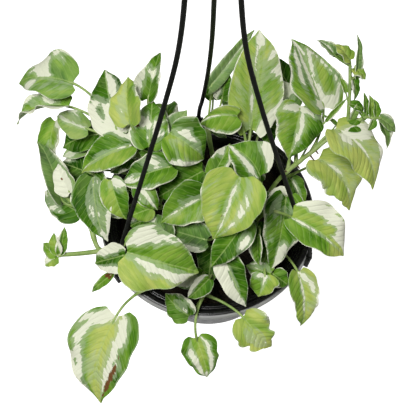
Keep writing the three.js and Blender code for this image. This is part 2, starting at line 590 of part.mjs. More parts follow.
function vine({ stems, leaves }) {
  const routes = stems.map((places, i) => {
    const points = places.map(seen);
    if (i === 0) {
      const foot = points[0].clone();
      points.unshift(foot.clone().setZ(-soilDepth - stemFootDepth));
      points.splice(2, 0, foot.clone().setZ(-soilDepth + 12));
    }
    return new THREE.CatmullRomCurve3(points, false, "centripetal");
  });
  const pieces = routes.map((route) =>
    solid(tube(route, stemRadius, 6, Math.max(5, Math.round(route.getLength() / 16)))),
  );
  for (const leaf of leaves) {
    const frame = bladeFrame(leaf);
    pieces.push(solid(blade(leaf, frame)));
    pieces.push(solid(petiole(leaf, frame, routes[leaf.on ?? 0])));
  }
  const joined = wasm.Manifold.union(pieces).simplify(simplifyWithin).decompose();
  const [grown, ...loose] = joined.sort((a, b) => b.volume() - a.volume());
  if (loose.some((scrap) => scrap.volume() > 0.001)) throw new Error("a leaf hangs loose");
  return geometryOf(grown);
}

// Assembly, measured from the rim and then hung from the hook's seat.
const plantInPot = new THREE.Group();
plantInPot.position.set(-hubOffset.x, -hubOffset.y, -seatHeight);
plantInPot.add(named("pot", pot(), finish.pot));
plantInPot.add(named("soil", soil(), finish.soil));
plantInPot.add(named("hanger_hook", hookAndHub(), finish.hanger));
for (const [place, azimuths] of Object.entries(legs)) {
  plantInPot.add(named("hanger_leg_" + place, leg(azimuths), finish.hanger));
}
for (const [name, parts] of Object.entries(vines)) {
  plantInPot.add(named(name, vine(parts), finish.leaf));
}

const hangingPothos = new THREE.Group();
hangingPothos.add(plantInPot);

export default hangingPothos;
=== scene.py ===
import math
import random

import bpy
import numpy as np
from mathutils import Matrix, Vector, noise


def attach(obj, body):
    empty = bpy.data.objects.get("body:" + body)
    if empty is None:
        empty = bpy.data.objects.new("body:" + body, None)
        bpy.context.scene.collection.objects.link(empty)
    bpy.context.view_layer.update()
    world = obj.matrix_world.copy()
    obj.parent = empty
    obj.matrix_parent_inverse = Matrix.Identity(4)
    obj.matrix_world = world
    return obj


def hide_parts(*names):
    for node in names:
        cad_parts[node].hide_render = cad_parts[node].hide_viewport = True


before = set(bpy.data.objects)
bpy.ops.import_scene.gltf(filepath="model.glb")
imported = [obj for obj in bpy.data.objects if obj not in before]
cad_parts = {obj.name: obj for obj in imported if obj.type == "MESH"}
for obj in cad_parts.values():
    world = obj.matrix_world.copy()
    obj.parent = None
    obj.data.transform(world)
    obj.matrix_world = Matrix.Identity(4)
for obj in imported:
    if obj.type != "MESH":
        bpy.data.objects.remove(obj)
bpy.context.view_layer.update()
print("frame loaded")

mm = 0.001
rimCentre = Vector((-6.3, -1.2, -470)) * mm  # the middle of the pot's rim, seen from where the hook bears

# The photograph's view of the rim. Places on the plant are (across, down, millimetres above the rim), where
# across and down are pixels of the photograph.
photoView = {
    "imageWidth": 416,
    "focal": 1103,
    "across": 207.6,
    "down": 215.2,
    "distance": 925 * mm,
    "elevation": math.radians(65.3),
    "roll": math.radians(0.9),
    "sensorWidth": 36,
    "clip": (0.05, 20),
}


# Camera
def makeCamera():
    view = photoView
    elevation = view["elevation"]
    back = Vector((0, -math.cos(elevation), math.sin(elevation)))
    bpy.ops.object.camera_add(location=rimCentre + back * view["distance"])
    camera = bpy.context.object
    camera.name = "photoCamera"
    turn = (-back).to_track_quat("-Z", "Y").to_matrix()
    camera.rotation_euler = (turn @ Matrix.Rotation(-view["roll"], 3, "Z")).to_euler()
    width = view["imageWidth"]
    camera.data.sensor_width = view["sensorWidth"]
    camera.data.lens = view["sensorWidth"] * view["focal"] / width
    camera.data.shift_x = (width / 2 - view["across"]) / width
    camera.data.shift_y = (view["down"] - width / 2) / width
    camera.data.clip_start, camera.data.clip_end = view["clip"]
    bpy.context.scene.camera = camera


def seen(place):  # a place in the photograph's view, as a point in the frame
    across, down, height = place
    view = photoView
    sine, cosine = math.sin(view["elevation"]), math.cos(view["elevation"])
    right, up = across - view["across"], view["down"] - down
    side = math.cos(view["roll"]) * right + math.sin(view["roll"]) * up
    slope = (math.cos(view["roll"]) * up - math.sin(view["roll"]) * right) / view["focal"]
    height = height * mm
    y = (slope * (view["distance"] - height * sine) - height * cosine) / (sine - slope * cosine)
    depth = view["distance"] - height * sine + y * cosine
    return rimCentre + Vector((side * depth / view["focal"], y, height))


# Helpers for modelling
def deselect():
    if bpy.context.object and bpy.context.object.mode != "OBJECT":
        bpy.ops.object.mode_set(mode="OBJECT")
    bpy.ops.object.select_all(action="DESELECT")


def pick(*objs):
    deselect()
    for obj in objs:
        obj.select_set(True)
    bpy.context.view_layer.objects.active = objs[0]


def settle(obj):  # the object sits at the origin, with its place in its mesh
    pick(obj)
    bpy.ops.object.transform_apply(location=True, rotation=True, scale=True)
    return obj


def join(name, objs):
    pick(*objs)
    if len(objs) > 1:
        bpy.ops.object.join()
    joined = bpy.context.object
    joined.name = joined.data.name = name
    return settle(joined)


def applyAll(obj):
    pick(obj)
    for modifier in list(obj.modifiers):
        bpy.ops.object.modifier_apply(modifier=modifier.name)


def smooth(obj, angle):
    pick(obj)
    bpy.ops.object.shade_smooth_by_angle(angle=math.radians(angle))


def weld(obj, distance):  # joins the points of a mesh that all but meet
    pick(obj)
    bpy.ops.object.mode_set(mode="EDIT")
    bpy.ops.mesh.select_all(action="SELECT")
    bpy.ops.mesh.remove_doubles(threshold=distance * mm)
    bpy.ops.object.mode_set(mode="OBJECT")


def faceOutwards(obj):
    pick(obj)
    bpy.ops.object.mode_set(mode="EDIT")
    bpy.ops.mesh.select_all(action="SELECT")
    bpy.ops.mesh.normals_make_consistent(inside=False)
    bpy.ops.object.mode_set(mode="OBJECT")


def copyOf(obj, name):
    twin = bpy.data.objects.new(name, obj.data.copy())
    bpy.context.collection.objects.link(twin)
    return twin


def remove(obj):
    bpy.data.objects.remove(obj, do_unlink=True)


def drill(obj, place, radius, depth):  # cuts a round upright hole with its middle at a place
    deselect()
    bpy.ops.mesh.primitive_cylinder_add(vertices=32, radius=radius * mm, depth=depth * mm, location=place)
    bit = bpy.context.object
    cut = obj.modifiers.new("hole", "BOOLEAN")
    cut.operation = "DIFFERENCE"
    cut.solver = "EXACT"
    cut.object = bit
    applyAll(obj)
    remove(bit)


def dress(obj, replaced, material):  # the object takes its nodes' place
    obj.data.materials.clear()
    obj.data.materials.append(material)
    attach(obj, "root")
    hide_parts(*replaced)


def upFrom(centre, height):  # the place that many millimetres above another
    return centre + Vector((0, 0, height * mm))


def turned(name, profile, centre, segments=128):  # a round piece, ring by ring, in millimetres
    deselect()
    radius, height = profile[0]
    bpy.ops.mesh.primitive_circle_add(vertices=segments, radius=radius * mm, location=upFrom(centre, height))
    obj = bpy.context.object
    bpy.ops.object.mode_set(mode="EDIT")
    for nextRadius, nextHeight in profile[1:]:
        bpy.ops.mesh.extrude_region_move(
            TRANSFORM_OT_translate={"value": (0, 0, (nextHeight - height) * mm)})
        share = nextRadius / radius
        bpy.ops.transform.resize(value=(share, share, 1), center_override=upFrom(centre, nextHeight))
        radius, height = nextRadius, nextHeight
    bpy.ops.mesh.select_all(action="SELECT")
    bpy.ops.mesh.fill_holes(sides=0)
    bpy.ops.object.mode_set(mode="OBJECT")
    faceOutwards(obj)
    obj.name = obj.data.name = name
    return settle(obj)


def newCurve():  # an empty curve object
    deselect()
    bpy.ops.curve.primitive_bezier_curve_add(location=(0, 0, 0))
    bpy.context.object.data.splines.clear()
    return bpy.context.object


def addRoute(curve, places):
    spline = curve.splines.new("POLY")
    spline.points.add(len(places) - 1)
    for point, place in zip(spline.points, places):
        point.co = (*place, 1)
    return spline


def asMesh(obj, name):
    pick(obj)
    bpy.ops.object.convert(target="MESH")
    obj = bpy.context.object
    obj.name = obj.data.name = name
    return obj


def tube(name, routes, resolution=3):  # round strands: each route is a list of (point, radius)
    obj = newCurve()
    curve = obj.data
    curve.dimensions = "3D"
    curve.bevel_depth = 1
    curve.bevel_resolution = resolution
    curve.use_fill_caps = True
    curve.twist_mode = "MINIMUM"
    for route in routes:
        spline = addRoute(curve, [place for place, _ in route])
        for point, (_, radius) in zip(spline.points, route):
            point.radius = radius
    mesh = settle(asMesh(obj, name))
    smooth(mesh, 60)
    return mesh


def throughPoints(points, steps):  # a centripetal curve through the points, evenly stepped
    ghosts = [points[0] * 2 - points[1], *points, points[-1] * 2 - points[-2]]
    dense = []
    for p0, p1, p2, p3 in zip(ghosts, ghosts[1:], ghosts[2:], ghosts[3:]):
        t1 = math.sqrt((p1 - p0).length)
        t2 = t1 + math.sqrt((p2 - p1).length)
        t3 = t2 + math.sqrt((p3 - p2).length)
        for i in range(16):
            t = t1 + (t2 - t1) * i / 16
            a1 = p0.lerp(p1, t / t1)
            a2 = p1.lerp(p2, (t - t1) / (t2 - t1))
            a3 = p2.lerp(p3, (t - t2) / (t3 - t2))
            b1 = a1.lerp(a2, t / t2)
            b2 = a2.lerp(a3, (t - t1) / (t3 - t1))
            dense.append(b1.lerp(b2, (t - t1) / (t2 - t1)))
    dense.append(points[-1].copy())
    reach = np.cumsum([0] + [(b - a).length for a, b in zip(dense, dense[1:])])
    even = []
    for share in np.linspace(0, 1, steps + 1):
        at = share * reach[-1]
        i = min(max(int(np.searchsorted(reach, at)), 1), len(dense) - 1)
        part = (at - reach[i - 1]) / max(reach[i] - reach[i - 1], 1e-9)
        even.append(dense[i - 1].lerp(dense[i], part))
    return even


def along(route, share):  # the point at a share of an evenly stepped route
    at = share * (len(route) - 1)
    i = min(int(at), len(route) - 2)
    return route[i].lerp(route[i + 1], at - i)




# Materials. Most helpers add a node to the tree that their values belong to, and give back what comes out
# of it.
def treeOf(*values):
    return next(value.id_data for value in values if isinstance(value, bpy.types.NodeSocket))


def feed(node, inputs):  # links each named input of a node, or sets it
    for name, value in inputs.items():
        socket = node.inputs[name]
        if isinstance(value, bpy.types.NodeSocket):
            value.id_data.links.new(value, socket)
        else:
            socket.default_value = (*value, 1) if socket.type == "RGBA" else value


def newNode(tree, kind, inputs=None, **settings):
    node = tree.nodes.new("ShaderNode" + kind)
    for name, value in settings.items():
        setattr(node, name, value)
    feed(node, inputs or {})
    return node


def calculate(operation, *values):
    return newNode(treeOf(*values), "Math", dict(enumerate(values)), operation=operation).outputs[0]


def plus(first, second):
    return calculate("ADD", first, second)


def minus(first, second):
    return calculate("SUBTRACT", first, second)


def times(first, second):
    return calculate("MULTIPLY", first, second)


def ramped(value, low, high, toLow=0.0, toHigh=1.0, kind="SMOOTHSTEP"):
    inputs = {"Value": value, "From Min": low, "From Max": high, "To Min": toLow, "To Max": toHigh}
    return newNode(treeOf(value), "MapRange", inputs, interpolation_type=kind).outputs[0]


def swing(value, low, reach):  # a pattern, turned into an amount between minus reach and reach
    return ramped(value, low, 1 - low, -reach, reach, "LINEAR")


def mixColour(share, first, second):
    node = newNode(treeOf(share, first, second), "Mix", {0: share}, data_type="RGBA")
    near, far = [index for index, socket in enumerate(node.inputs) if socket.type == "RGBA"]
    feed(node, {near: first, far: second})
    return next(socket for socket in node.outputs if socket.type == "RGBA")


def noiseNode(place, scale, detail=3.0, roughness=0.55):
    inputs = {"Vector": place, "Scale": scale, "Detail": detail, "Roughness": roughness}
    return newNode(treeOf(place), "TexNoise", inputs).outputs["Fac"]


def stretched(place, scale, shift=(0, 0, 0)):
    inputs = {"Vector": place, "Scale": scale, "Location": shift}
    return newNode(treeOf(place), "Mapping", inputs).outputs["Vector"]


def grain(place, scale, detail=3.0, roughness=0.55, shift=0):  # noise that is drawn out along the veins
    return noiseNode(stretched(place, scale, (0, 0, shift)), 1, detail, roughness)


def attribute(tree, name, output="Fac"):
    return newNode(tree, "Attribute", attribute_name=name).outputs[output]


def objectPlace(tree):
    return newNode(tree, "TexCoord").outputs["Object"]


def colourRamp(value, stops):
    node = newNode(treeOf(value), "ValToRGB", {"Fac": value})
    elements = node.color_ramp.elements
    while len(elements) < len(stops):
        elements.new(0.5)
    for element, (place, colour) in zip(elements, stops):
        element.position = place
        element.color = (*colour, 1)
    return node.outputs["Color"]


def bumpNode(shader, height, strength, distance):
    inputs = {"Strength": strength, "Distance": distance * mm, "Height": height}
    feed(shader, {"Normal": newNode(treeOf(height), "Bump", inputs).outputs["Normal"]})


def newMaterial(name):
    material = bpy.data.materials.new(name)
    material.use_nodes = True
    tree = material.node_tree
    return material, tree, tree.nodes["Principled BSDF"]


# Shared effect: how far a blade is cream at each place, and its veins. The first five values are how
# closely a pattern is set along the blade, across it and from leaf to leaf. Ends are where an effect is
# nothing and full.
veinLook = {
    "alongVeins": (0.2, 0.07, 1),
    "alongRib": (0.06, 0.3, 1),
    "blots": (0.09, 0.11, 1),
    "flecks": (0.9, 0.35, 1),
    "marble": (0.13, 0.075, 1),
    "ribEnds": (2, 9),
    "blotWander": 0.4,
    "fleckWander": 0.2,
    "creamEnds": (-0.02, 0.03),
    "paleEnds": (-0.26, -0.1),
    "marbleEnds": (0.51, 0.57),
    "midribEnds": (0.8, 0.3),
    "veinEnds": (0.09, 0.0),
    "veinBend": 0.8,
    "swellEnds": (0.0, 0.3),
    "fleckRelief": 0.5,
}


def makeVariegationGroup():
    look = veinLook
    group = bpy.data.node_groups.new("variegation", "ShaderNodeTree")
    face = group.interface
    face.new_socket(name="Vein Place", in_out="INPUT", socket_type="NodeSocketVector")
    for name in ("Cream Field", "Streak", "Vein Phase"):
        face.new_socket(name=name, in_out="INPUT", socket_type="NodeSocketFloat")
    for name in ("Cream", "Pale", "Marble", "Midrib", "Vein", "Height"):
        face.new_socket(name=name, in_out="OUTPUT", socket_type="NodeSocketFloat")
    start, end = group.nodes.new("NodeGroupInput"), group.nodes.new("NodeGroupOutput")
    place = start.outputs["Vein Place"]
    fromRib = calculate("ABSOLUTE", newNode(group, "SeparateXYZ", {0: place}).outputs["Y"])
    veined = grain(place, look["alongVeins"], 4)
    lengthwise = grain(place, look["alongRib"], 4, shift=40)
    blots = grain(place, look["blots"], 2, 0.5)
    flecks = grain(place, look["flecks"], 2, 0.5)
    marble = grain(place, look["marble"], 4, 0.6, 80)
    outward = ramped(fromRib, *look["ribEnds"])
    streaks = plus(times(veined, outward), times(lengthwise, minus(1, outward)))
    wander = times(minus(streaks, 0.5), start.outputs["Streak"])
    spread = times(minus(blots, 0.5), look["blotWander"])
    speck = times(minus(flecks, 0.5), look["fleckWander"])
    field = plus(plus(plus(start.outputs["Cream Field"], wander), spread), speck)
    bent = plus(start.outputs["Vein Phase"], times(blots, look["veinBend"]))
    wave = calculate("PINGPONG", bent, 0.5)
    feed(end, {
        "Cream": ramped(field, *look["creamEnds"]),
        "Pale": ramped(field, *look["paleEnds"]),
        "Marble": ramped(marble, *look["marbleEnds"]),
        "Midrib": ramped(fromRib, *look["midribEnds"]),
        "Vein": ramped(wave, *look["veinEnds"]),
        "Height": plus(ramped(wave, *look["swellEnds"]), times(flecks, look["fleckRelief"])),
    })
    return group


leafColours = {
    "lime": (0.48, 0.55, 0.13),
    "yellow": (0.34, 0.46, 0.08),
    "light": (0.18, 0.345, 0.032),
    "mid": (0.064, 0.185, 0.007),
    "dark": (0.014, 0.066, 0.001),
    "cream": (0.78, 0.8, 0.62),
    "pale": (0.42, 0.52, 0.31),
    "marble": (0.22, 0.35, 0.08),
    "rib": (0.4, 0.53, 0.17),
    "burn": (0.17, 0.075, 0.025),
    "underside": (0.33, 0.42, 0.23),
}
leafLook = {
    "streak": 0.7,
    "mottle": (0.2, 0.12, 1),
    "mottleTone": 0.14,
    "cloud": (0.05, 0.06, 1),
    "cloudTone": 0.22,
    "tones": [(0.0, "lime"), (0.22, "yellow"), (0.45, "light"), (0.7, "mid"), (1.0, "dark")],
    "tints": [("Marble", 0.28, "marble"), ("Vein", 0.25, "rib"), ("Pale", 0.52, "pale"),
              ("Midrib", 0.45, "rib")],
    "burnWander": 0.07,
    "burnEnds": (0.0, 0.05),
    "undersideShare": 0.55,
    "undersideRoughness": 0.6,
    "roughness": (0.38, 0.52),
    "shine": 0.07,
    "bump": (0.6, 0.45),
}


def makeLeafMaterial(name, variegation, underside):
    material, tree, shader = newMaterial(name)
    look, colours = leafLook, leafColours
    place = attribute(tree, "veinPlace", "Vector")
    vein = newNode(tree, "Group", node_tree=variegation)
    feed(vein, {
        "Vein Place": place,
        "Cream Field": attribute(tree, "creamField"),
        "Vein Phase": attribute(tree, "veinPhase"),
        "Streak": look["streak"],
    })
    mottle = grain(place, look["mottle"])
    cloud = grain(place, look["cloud"], 2, shift=20)
    uneven = plus(swing(mottle, 0.25, look["mottleTone"]), swing(cloud, 0.3, look["cloudTone"]))
    tone = plus(attribute(tree, "greenTone"), uneven)
    green = colourRamp(tone, [(at, colours[tint]) for at, tint in look["tones"]])
    for output, share, tint in look["tints"]:
        green = mixColour(times(vein.outputs[output], share), green, colours[tint])
    colour = mixColour(vein.outputs["Cream"], green, colours["cream"])
    burn = plus(attribute(tree, "burnField"), swing(mottle, 0.3, look["burnWander"]))
    colour = mixColour(ramped(burn, *look["burnEnds"]), colour, colours["burn"])
    colour = mixColour(attribute(tree, "wanField"), colour, colours["underside"])
    if underside:
        colour = mixColour(look["undersideShare"], colour, colours["underside"])
        roughness = look["undersideRoughness"]
    else:
        roughness = ramped(mottle, 0.3, 0.7, *look["roughness"])
    feed(shader, {"Base Color": colour, "Roughness": roughness, "Specular IOR Level": look["shine"]})
    bumpNode(shader, vein.outputs["Height"], *look["bump"])
    return material


stemLook = {
    "greens": [(0.3, (0.16, 0.27, 0.05)), (0.52, (0.3, 0.43, 0.11)), (0.72, (0.44, 0.52, 0.22))],
    "cloudScale": 90,
    "lineScale": 900,
    "lineStretch": (1, 1, 0.2),
    "bark": (0.11, 0.075, 0.03),
    "barkEnds": (0.2, 0.9),
    "roughness": (0.42, 0.58),
    "bump": (0.2, 0.2),
}


def makeStemMaterial():
    material, tree, shader = newMaterial("petioleGreen")
    look = stemLook
    place = objectPlace(tree)
    lines = noiseNode(stretched(place, look["lineStretch"]), look["lineScale"], 2)
    green = colourRamp(noiseNode(place, look["cloudScale"]), look["greens"])
    bark = ramped(attribute(tree, "barkField"), *look["barkEnds"])
    roughness = ramped(lines, 0.3, 0.7, *look["roughness"])
    feed(shader, {"Base Color": mixColour(bark, green, look["bark"]), "Roughness": roughness})
    bumpNode(shader, lines, *look["bump"])
    return material


potLook = {"colour": (0.006, 0.006, 0.0055), "roughness": 0.24, "shine": 0.5}
# The rim's outer band is a painted sheen: it is painted light grey where the black plastic would reflect the
# pale surroundings.
potSheenBand = {"from": 88.4, "colour": (0.46, 0.46, 0.45), "rougher": 0.3}
hangerLook = {"colour": (0.003, 0.004, 0.0025), "roughness": 0.45, "shine": 0.1}
dustLook = {"colour": (0.2, 0.19, 0.17), "scale": 45, "ends": (0.56, 0.8), "most": 0.12}
plasticSurface = {"scuffScale": 160, "scuffed": 0.1, "grainScale": 700, "bump": (0.08, 0.2)}


def makePlasticMaterial(name, look, sheenBand=None):
    material, tree, shader = newMaterial(name)
    surface, smoothest = plasticSurface, look["roughness"]
    place = objectPlace(tree)
    dust = ramped(noiseNode(place, dustLook["scale"], 5, 0.65), *dustLook["ends"], 0, dustLook["most"])
    colour = mixColour(dust, look["colour"], dustLook["colour"])
    scuffs = noiseNode(place, surface["scuffScale"], 4)
    roughness = ramped(scuffs, 0.3, 0.7, smoothest, smoothest + surface["scuffed"])
    if sheenBand:  # a painted sheen: from a radius outwards, the outer band of the rim is painted light grey, standing in for the pale surroundings that the black plastic reflects there
        flat = stretched(place, (1, 1, 0), (-rimCentre.x, -rimCentre.y, 0))
        radius = newNode(tree, "VectorMath", {0: flat}, operation="LENGTH").outputs["Value"]
        # painted sheen on the rim's outer band
        paintedSheen = ramped(radius, sheenBand["from"] * mm, (sheenBand["from"] + 1) * mm)
        colour = mixColour(paintedSheen, colour, sheenBand["colour"])
        roughness = plus(roughness, times(paintedSheen, sheenBand["rougher"]))
    feed(shader, {"Base Color": colour, "Roughness": roughness, "Specular IOR Level": look["shine"]})
    bumpNode(shader, noiseNode(place, surface["grainScale"], 2), *surface["bump"])
    return material


mixLook = {"dark": (0.004, 0.003, 0.002), "light": (0.03, 0.022, 0.013), "scale": 400}
chipLook = {"dark": (0.012, 0.008, 0.005), "light": (0.07, 0.045, 0.024), "scale": 600}
soilSurface = {"darkAt": 0.35, "lightAt": 0.7, "roughness": 0.9, "shine": 0.2, "bump": (0.8, 0.8)}


def makeSoilMaterial(name, look):
    material, tree, shader = newMaterial(name)
    surface = soilSurface
    grains = noiseNode(objectPlace(tree), look["scale"], 6, 0.7)
    colour = colourRamp(grains, [(surface["darkAt"], look["dark"]), (surface["lightAt"], look["light"])])
    feed(shader, {
        "Base Color": colour,
        "Roughness": surface["roughness"],
        "Specular IOR Level": surface["shine"],
    })
    bumpNode(shader, grains, *surface["bump"])
    return material


variegation = makeVariegationGroup()
leafFace = makeLeafMaterial("leafFace", variegation, False)
leafUnderside = makeLeafMaterial("leafUnderside", variegation, True)
petioleGreen = makeStemMaterial()
potPlastic = makePlasticMaterial("blackPotPlastic", potLook, potSheenBand)
hangerPlastic = makePlasticMaterial("blackHangerPlastic", hangerLook)
pottingMix = makeSoilMaterial("pottingMix", mixLook)
barkChip = makeSoilMaterial("barkChip", chipLook)
print("materials made")


# Zones of cream on a blade. Along runs 0 to 1 from petiole to tip, and across from -1 to 1, where 1 is on
# the right of someone who looks from petiole to tip. A zone's field is above zero inside it.
def edge(side, start, stop, depth):
    return ("edge", side, start, stop, depth)


def streak(across, start, stop, reach):
    return ("streak", across, start, stop, reach)


def patch(along, across, long, wide):
    return ("patch", along, across, long, wide)


def green(along, across, long, wide):
    return ("green", along, across, long, wide)


# Large pale zones on some leaves are partly painted light, which makes leaves that face away from the lamps
# paler.
def pale(along, across, long, wide):
    return ("pale", along, across, long, wide)


def marbled(along, across, long, wide):  # white and green mixed in small streaks
    return ("marbled", along, across, long, wide)


# Zones lean forwards with the side veins. The field is at green where no zone lies, and a pale or a marbled
# zone lifts it by its own amount, over a soft border.
zoneShape = {
    "lean": 0.16,
    "ends": 4,
    "green": -0.55,
    "pale": 0.42,
    "marbled": 0.47,
    "border": 0.12,
    "marginBeats": (0.8, 2.2),
}


def zoneField(zone, t, a):
    kind, first, second, third, fourth = zone
    lean = zoneShape["lean"]
    if kind in ("edge", "streak"):
        window = np.minimum(t - second, third - t) * zoneShape["ends"]
    if kind == "edge":
        onSide = a * first if first else np.abs(a)
        return np.where(window > -0.06, fourth * np.clip(0.35 + window, 0, 1) - (1 - onSide), -1.0)
    if kind == "streak":
        return fourth * np.clip(0.3 + window, -1, 1) - np.abs(a - first)
    lengthwise = (t - lean * np.abs(a) - first + lean * abs(second)) / third
    return (1 - np.sqrt(lengthwise ** 2 + ((a - second) / fourth) ** 2)) * min(2.4 * third, fourth)


def beat(t, beats, chance):  # a wave along the blade, with this many beats
    return np.sin(2 * math.pi * (chance.uniform(*beats) * t + chance.random()))


def creamField(zones, margin, t, a, chance):
    shape = zoneShape
    field = np.full(t.shape, shape["green"])
    for zone in zones:
        inside = zoneField(zone, t, a)
        if zone[0] == "green":
            field = np.minimum(field, -inside)
        elif zone[0] in ("pale", "marbled"):
            lift = shape[zone[0]] * np.clip(inside / shape["border"] + 0.5, 0, 1)
            field = np.maximum(field, shape["green"] + lift)
        else:
            field = np.maximum(field, inside)
    for way in (-1, 1):  # a thin white margin that comes and goes
        thin = margin * np.clip(0.5 + 0.9 * beat(t, shape["marginBeats"], chance), 0, 1.3)
        field = np.maximum(field, (a * way - 1 + thin) * 3)
    return field


def chanceZones(draw):  # for leaves with no look of their own
    zones = []
    for side in (-1, 1):
        if draw.random() < 0.7:
            start = draw.uniform(0, 0.5)
            zones.append(edge(side, start, start + draw.uniform(0.25, 0.6), draw.uniform(0.12, 0.4)))
    for _ in range(draw.randint(0, 2)):
        zones.append(patch(draw.uniform(0.15, 0.8), draw.uniform(-0.8, 0.8),
                           draw.uniform(0.08, 0.22), draw.uniform(0.15, 0.4)))
    return zones


# A leaf runs from the end of its petiole, base, to its tip. Its petiole leaves stem number on at the share
# start, and may pass a place, via. Width is in millimetres. Roll turns the blade and fold lifts its halves,
# in degrees. Arch bows it up and sway to its right, as shares of its length. Late, above 1, puts the widest
# place nearer to the tip, and lean makes the right half wider. Lively is how far the blade strays from a
# plain one, curl is how far its right and left edges roll under, and notches are how many bites its edges
# have and how deep. Tone runs from 0, lime, to 1, darkest green: one number, or the right half, the left
# half and, if wanted, the middle. The tip may have a tone of its own, tipTone. Cream lists the blade's
# zones, and margin is the width of its thin white edge. Crisp sharpens the borders, burn is a brown zone,
# and wan is how far the blade is faded.
# Tones and pale zones are partly painted light and shade. Leaves that lie in shade deep inside the plant have
# darker tones. Leaves that face away from the lamps have lighter tones and wide pale zones. The two halves of
# a folded blade differ partly as the light falls on them.
leafDefaults = {
    "on": 0,
    "roll": 0,
    "fold": 10,
    "arch": 0.1,
    "sway": 0,
    "late": 1,
    "lean": 0,
    "lively": 1,
    "crisp": 1,
    "wan": 0.0,
}


def leaf(base, tip, width, start, **look):
    return {**leafDefaults, "base": base, "tip": tip, "width": width, "start": start, **look}


# A vine's stems are routes of places, the first of them rooted in the mix, and taper is how much thinner they
# end. Sprigs are tiny rolled leaves along it.
vines = {}


def addVine(name, stems, leaves, sprigs=(), taper=0.14):
    vines[name] = {"stems": stems, "leaves": leaves, "sprigs": list(sprigs), "taper": taper}




# The tones and pale zones below are partly painted light and shade, set leaf by leaf.
addVine("vine_01", [
    [(166, 196, -17), (160, 186, 14), (147, 166, 42), (133, 149, 58), (119, 136, 64)],
], [
    leaf((73, 83, 80), (18, 81, 66), 42, 0.99, sway=0.04, fold=8, tone=(0.5, 0.5), lively=1.2, lean=0.15,
         late=1.1, wan=0.15, margin=0.02, crisp=1.8,
         cream=[patch(0.6, 0.45, 0.2, 0.5), patch(0.42, 0.8, 0.16, 0.3), green(0.26, 0.3, 0.17, 0.5),
                green(0.82, 0.62, 0.09, 0.2), green(0.74, 0.05, 0.13, 0.28), green(0.5, 1, 0.1, 0.14),
                patch(0.7, -0.6, 0.08, 0.4), pale(0.4, -0.45, 0.5, 0.5)]),
    leaf((69, 106, 68), (15, 122, 48), 36, 0.97, roll=22, fold=40, sway=0.05, tone=0.5, lively=1.5,
         cream=[edge(1, 0.1, 0.9, 0.26), edge(-1, 0, 0.9, 0.35), patch(0.3, 0.3, 0.1, 0.25),
                patch(0.95, 0, 0.2, 0.8), pale(0.4, 0.3, 0.3, 0.4)]),
    leaf((88, 129, 58), (56, 116, 50), 24, 0.94, roll=-20, fold=24, arch=0.08, tone=0.45, wan=0.3,
         cream=[streak(0, 0, 0.9, 0.1), edge(1, 0.3, 1, 0.16), patch(0.85, 0.3, 0.12, 0.3),
                pale(0.4, 0.4, 0.4, 0.5)]),
    leaf((55, 121, 43), (51, 170, 24), 26, 0.91, fold=18, tone=(0.52, 0.45), lively=1.4, curl=(0.1, -0.06),
         cream=[edge(-1, 0, 1, 0.26), patch(0.05, -0.45, 0.12, 0.35), patch(0.78, -0.7, 0.2, 0.4),
                pale(0.6, 0, 0.3, 0.4)]),
    leaf((98, 134, 44), (62, 147, 36), 29, 0.8, fold=12, tone=(0.98, 0.8), cream=[]),
    leaf((131, 145, 68), (80, 171, 52), 30, 0.7, roll=4, fold=14, arch=0.12, tone=(0.68, 0.36),
         cream=[streak(0, 0.4, 1.05, 0.045), patch(0.1, 0.9, 0.1, 0.25), edge(-1, 0.6, 0.95, 0.05)]),
    leaf((117, 131, 72), (105, 68, 80), 36, 0.9, fold=12, arch=0.08, tone=0.82, lively=1.4,
         cream=[patch(0.14, 0.1, 0.3, 1.5), patch(0.66, 0.34, 0.34, 0.24), green(0.5, 0.95, 0.22, 0.24),
                green(0.34, -0.5, 0.1, 0.12)]),
    leaf((92, 174, 36), (60, 162, 24), 25, 0.5, arch=0.05, tone=0.98, cream=[patch(0.75, 0.7, 0.12, 0.3)]),
    leaf((132, 159, 48), (110, 173, 40), 22, 0.55, fold=35, tone=0.9),
    leaf((102, 170, 34), (76, 177, 28), 17, 0.4, tone=0.98, cream=[]),
    leaf((86, 150, 40), (62, 156, 34), 15, 0.62, fold=20, arch=0.08, tone=0.5, wan=0.4,
         cream=[patch(0.7, -0.3, 0.35, 0.6)]),
])

addVine("vine_02", [
    [(150, 228, -17), (141, 232, -2), (126, 243, 6), (110, 251, 7), (99, 249, 12), (90, 227, 20),
     (78, 209, 27), (66, 196, 33), (56, 184, 38)],
    [(101, 251, 10), (80, 253.5, 12), (58, 255, 14)],
], [
    leaf((62, 200, 30), (39, 140, 48), 22, 0.85, roll=55, arch=0.06, tone=0.72, wan=0.25,
         cream=[edge(1, 0.2, 0.8, 0.25)]),
    leaf((80, 213, 24), (44, 190, 18), 28, 0.66, fold=12, arch=0.08, tone=0.8, lively=1.5,
         cream=[marbled(0.6, 0.3, 0.5, 1.2), patch(0.5, 0.5, 0.3, 0.4), green(0.15, 0, 0.25, 0.8),
                green(0.5, -0.95, 0.4, 0.25)]),
    leaf((70, 193, 40), (57, 164, 46), 18, 0.95, arch=0.06, tone=0.6,
         cream=[patch(0.5, -0.15, 0.8, 1.0), green(0.5, 0.95, 0.5, 0.3)], burn=patch(0.5, -0.1, 0.04, 0.1)),
    leaf((60, 253, 16), (65, 227, 26), 11, 0.95, on=1, roll=30, fold=30, arch=0.05, tone=0.6,
         cream=[edge(-1, 0.1, 1, 0.3)]),
    leaf((58, 253, 16), (53, 233, 24), 13, 0.97, on=1, fold=15, arch=0.05, tone=0.5,
         cream=[edge(1, 0, 0.9, 0.5)]),
    leaf((56, 255, 14), (43, 243, 14), 13, 0.98, on=1, tone=0.4, cream=[edge(-1, 0.2, 0.9, 0.2)]),
    leaf((56, 256, 12), (45, 266, 8), 13, 0.99, on=1, tone=0.45, cream=[patch(0.5, 0.4, 0.4, 0.5)]),
])

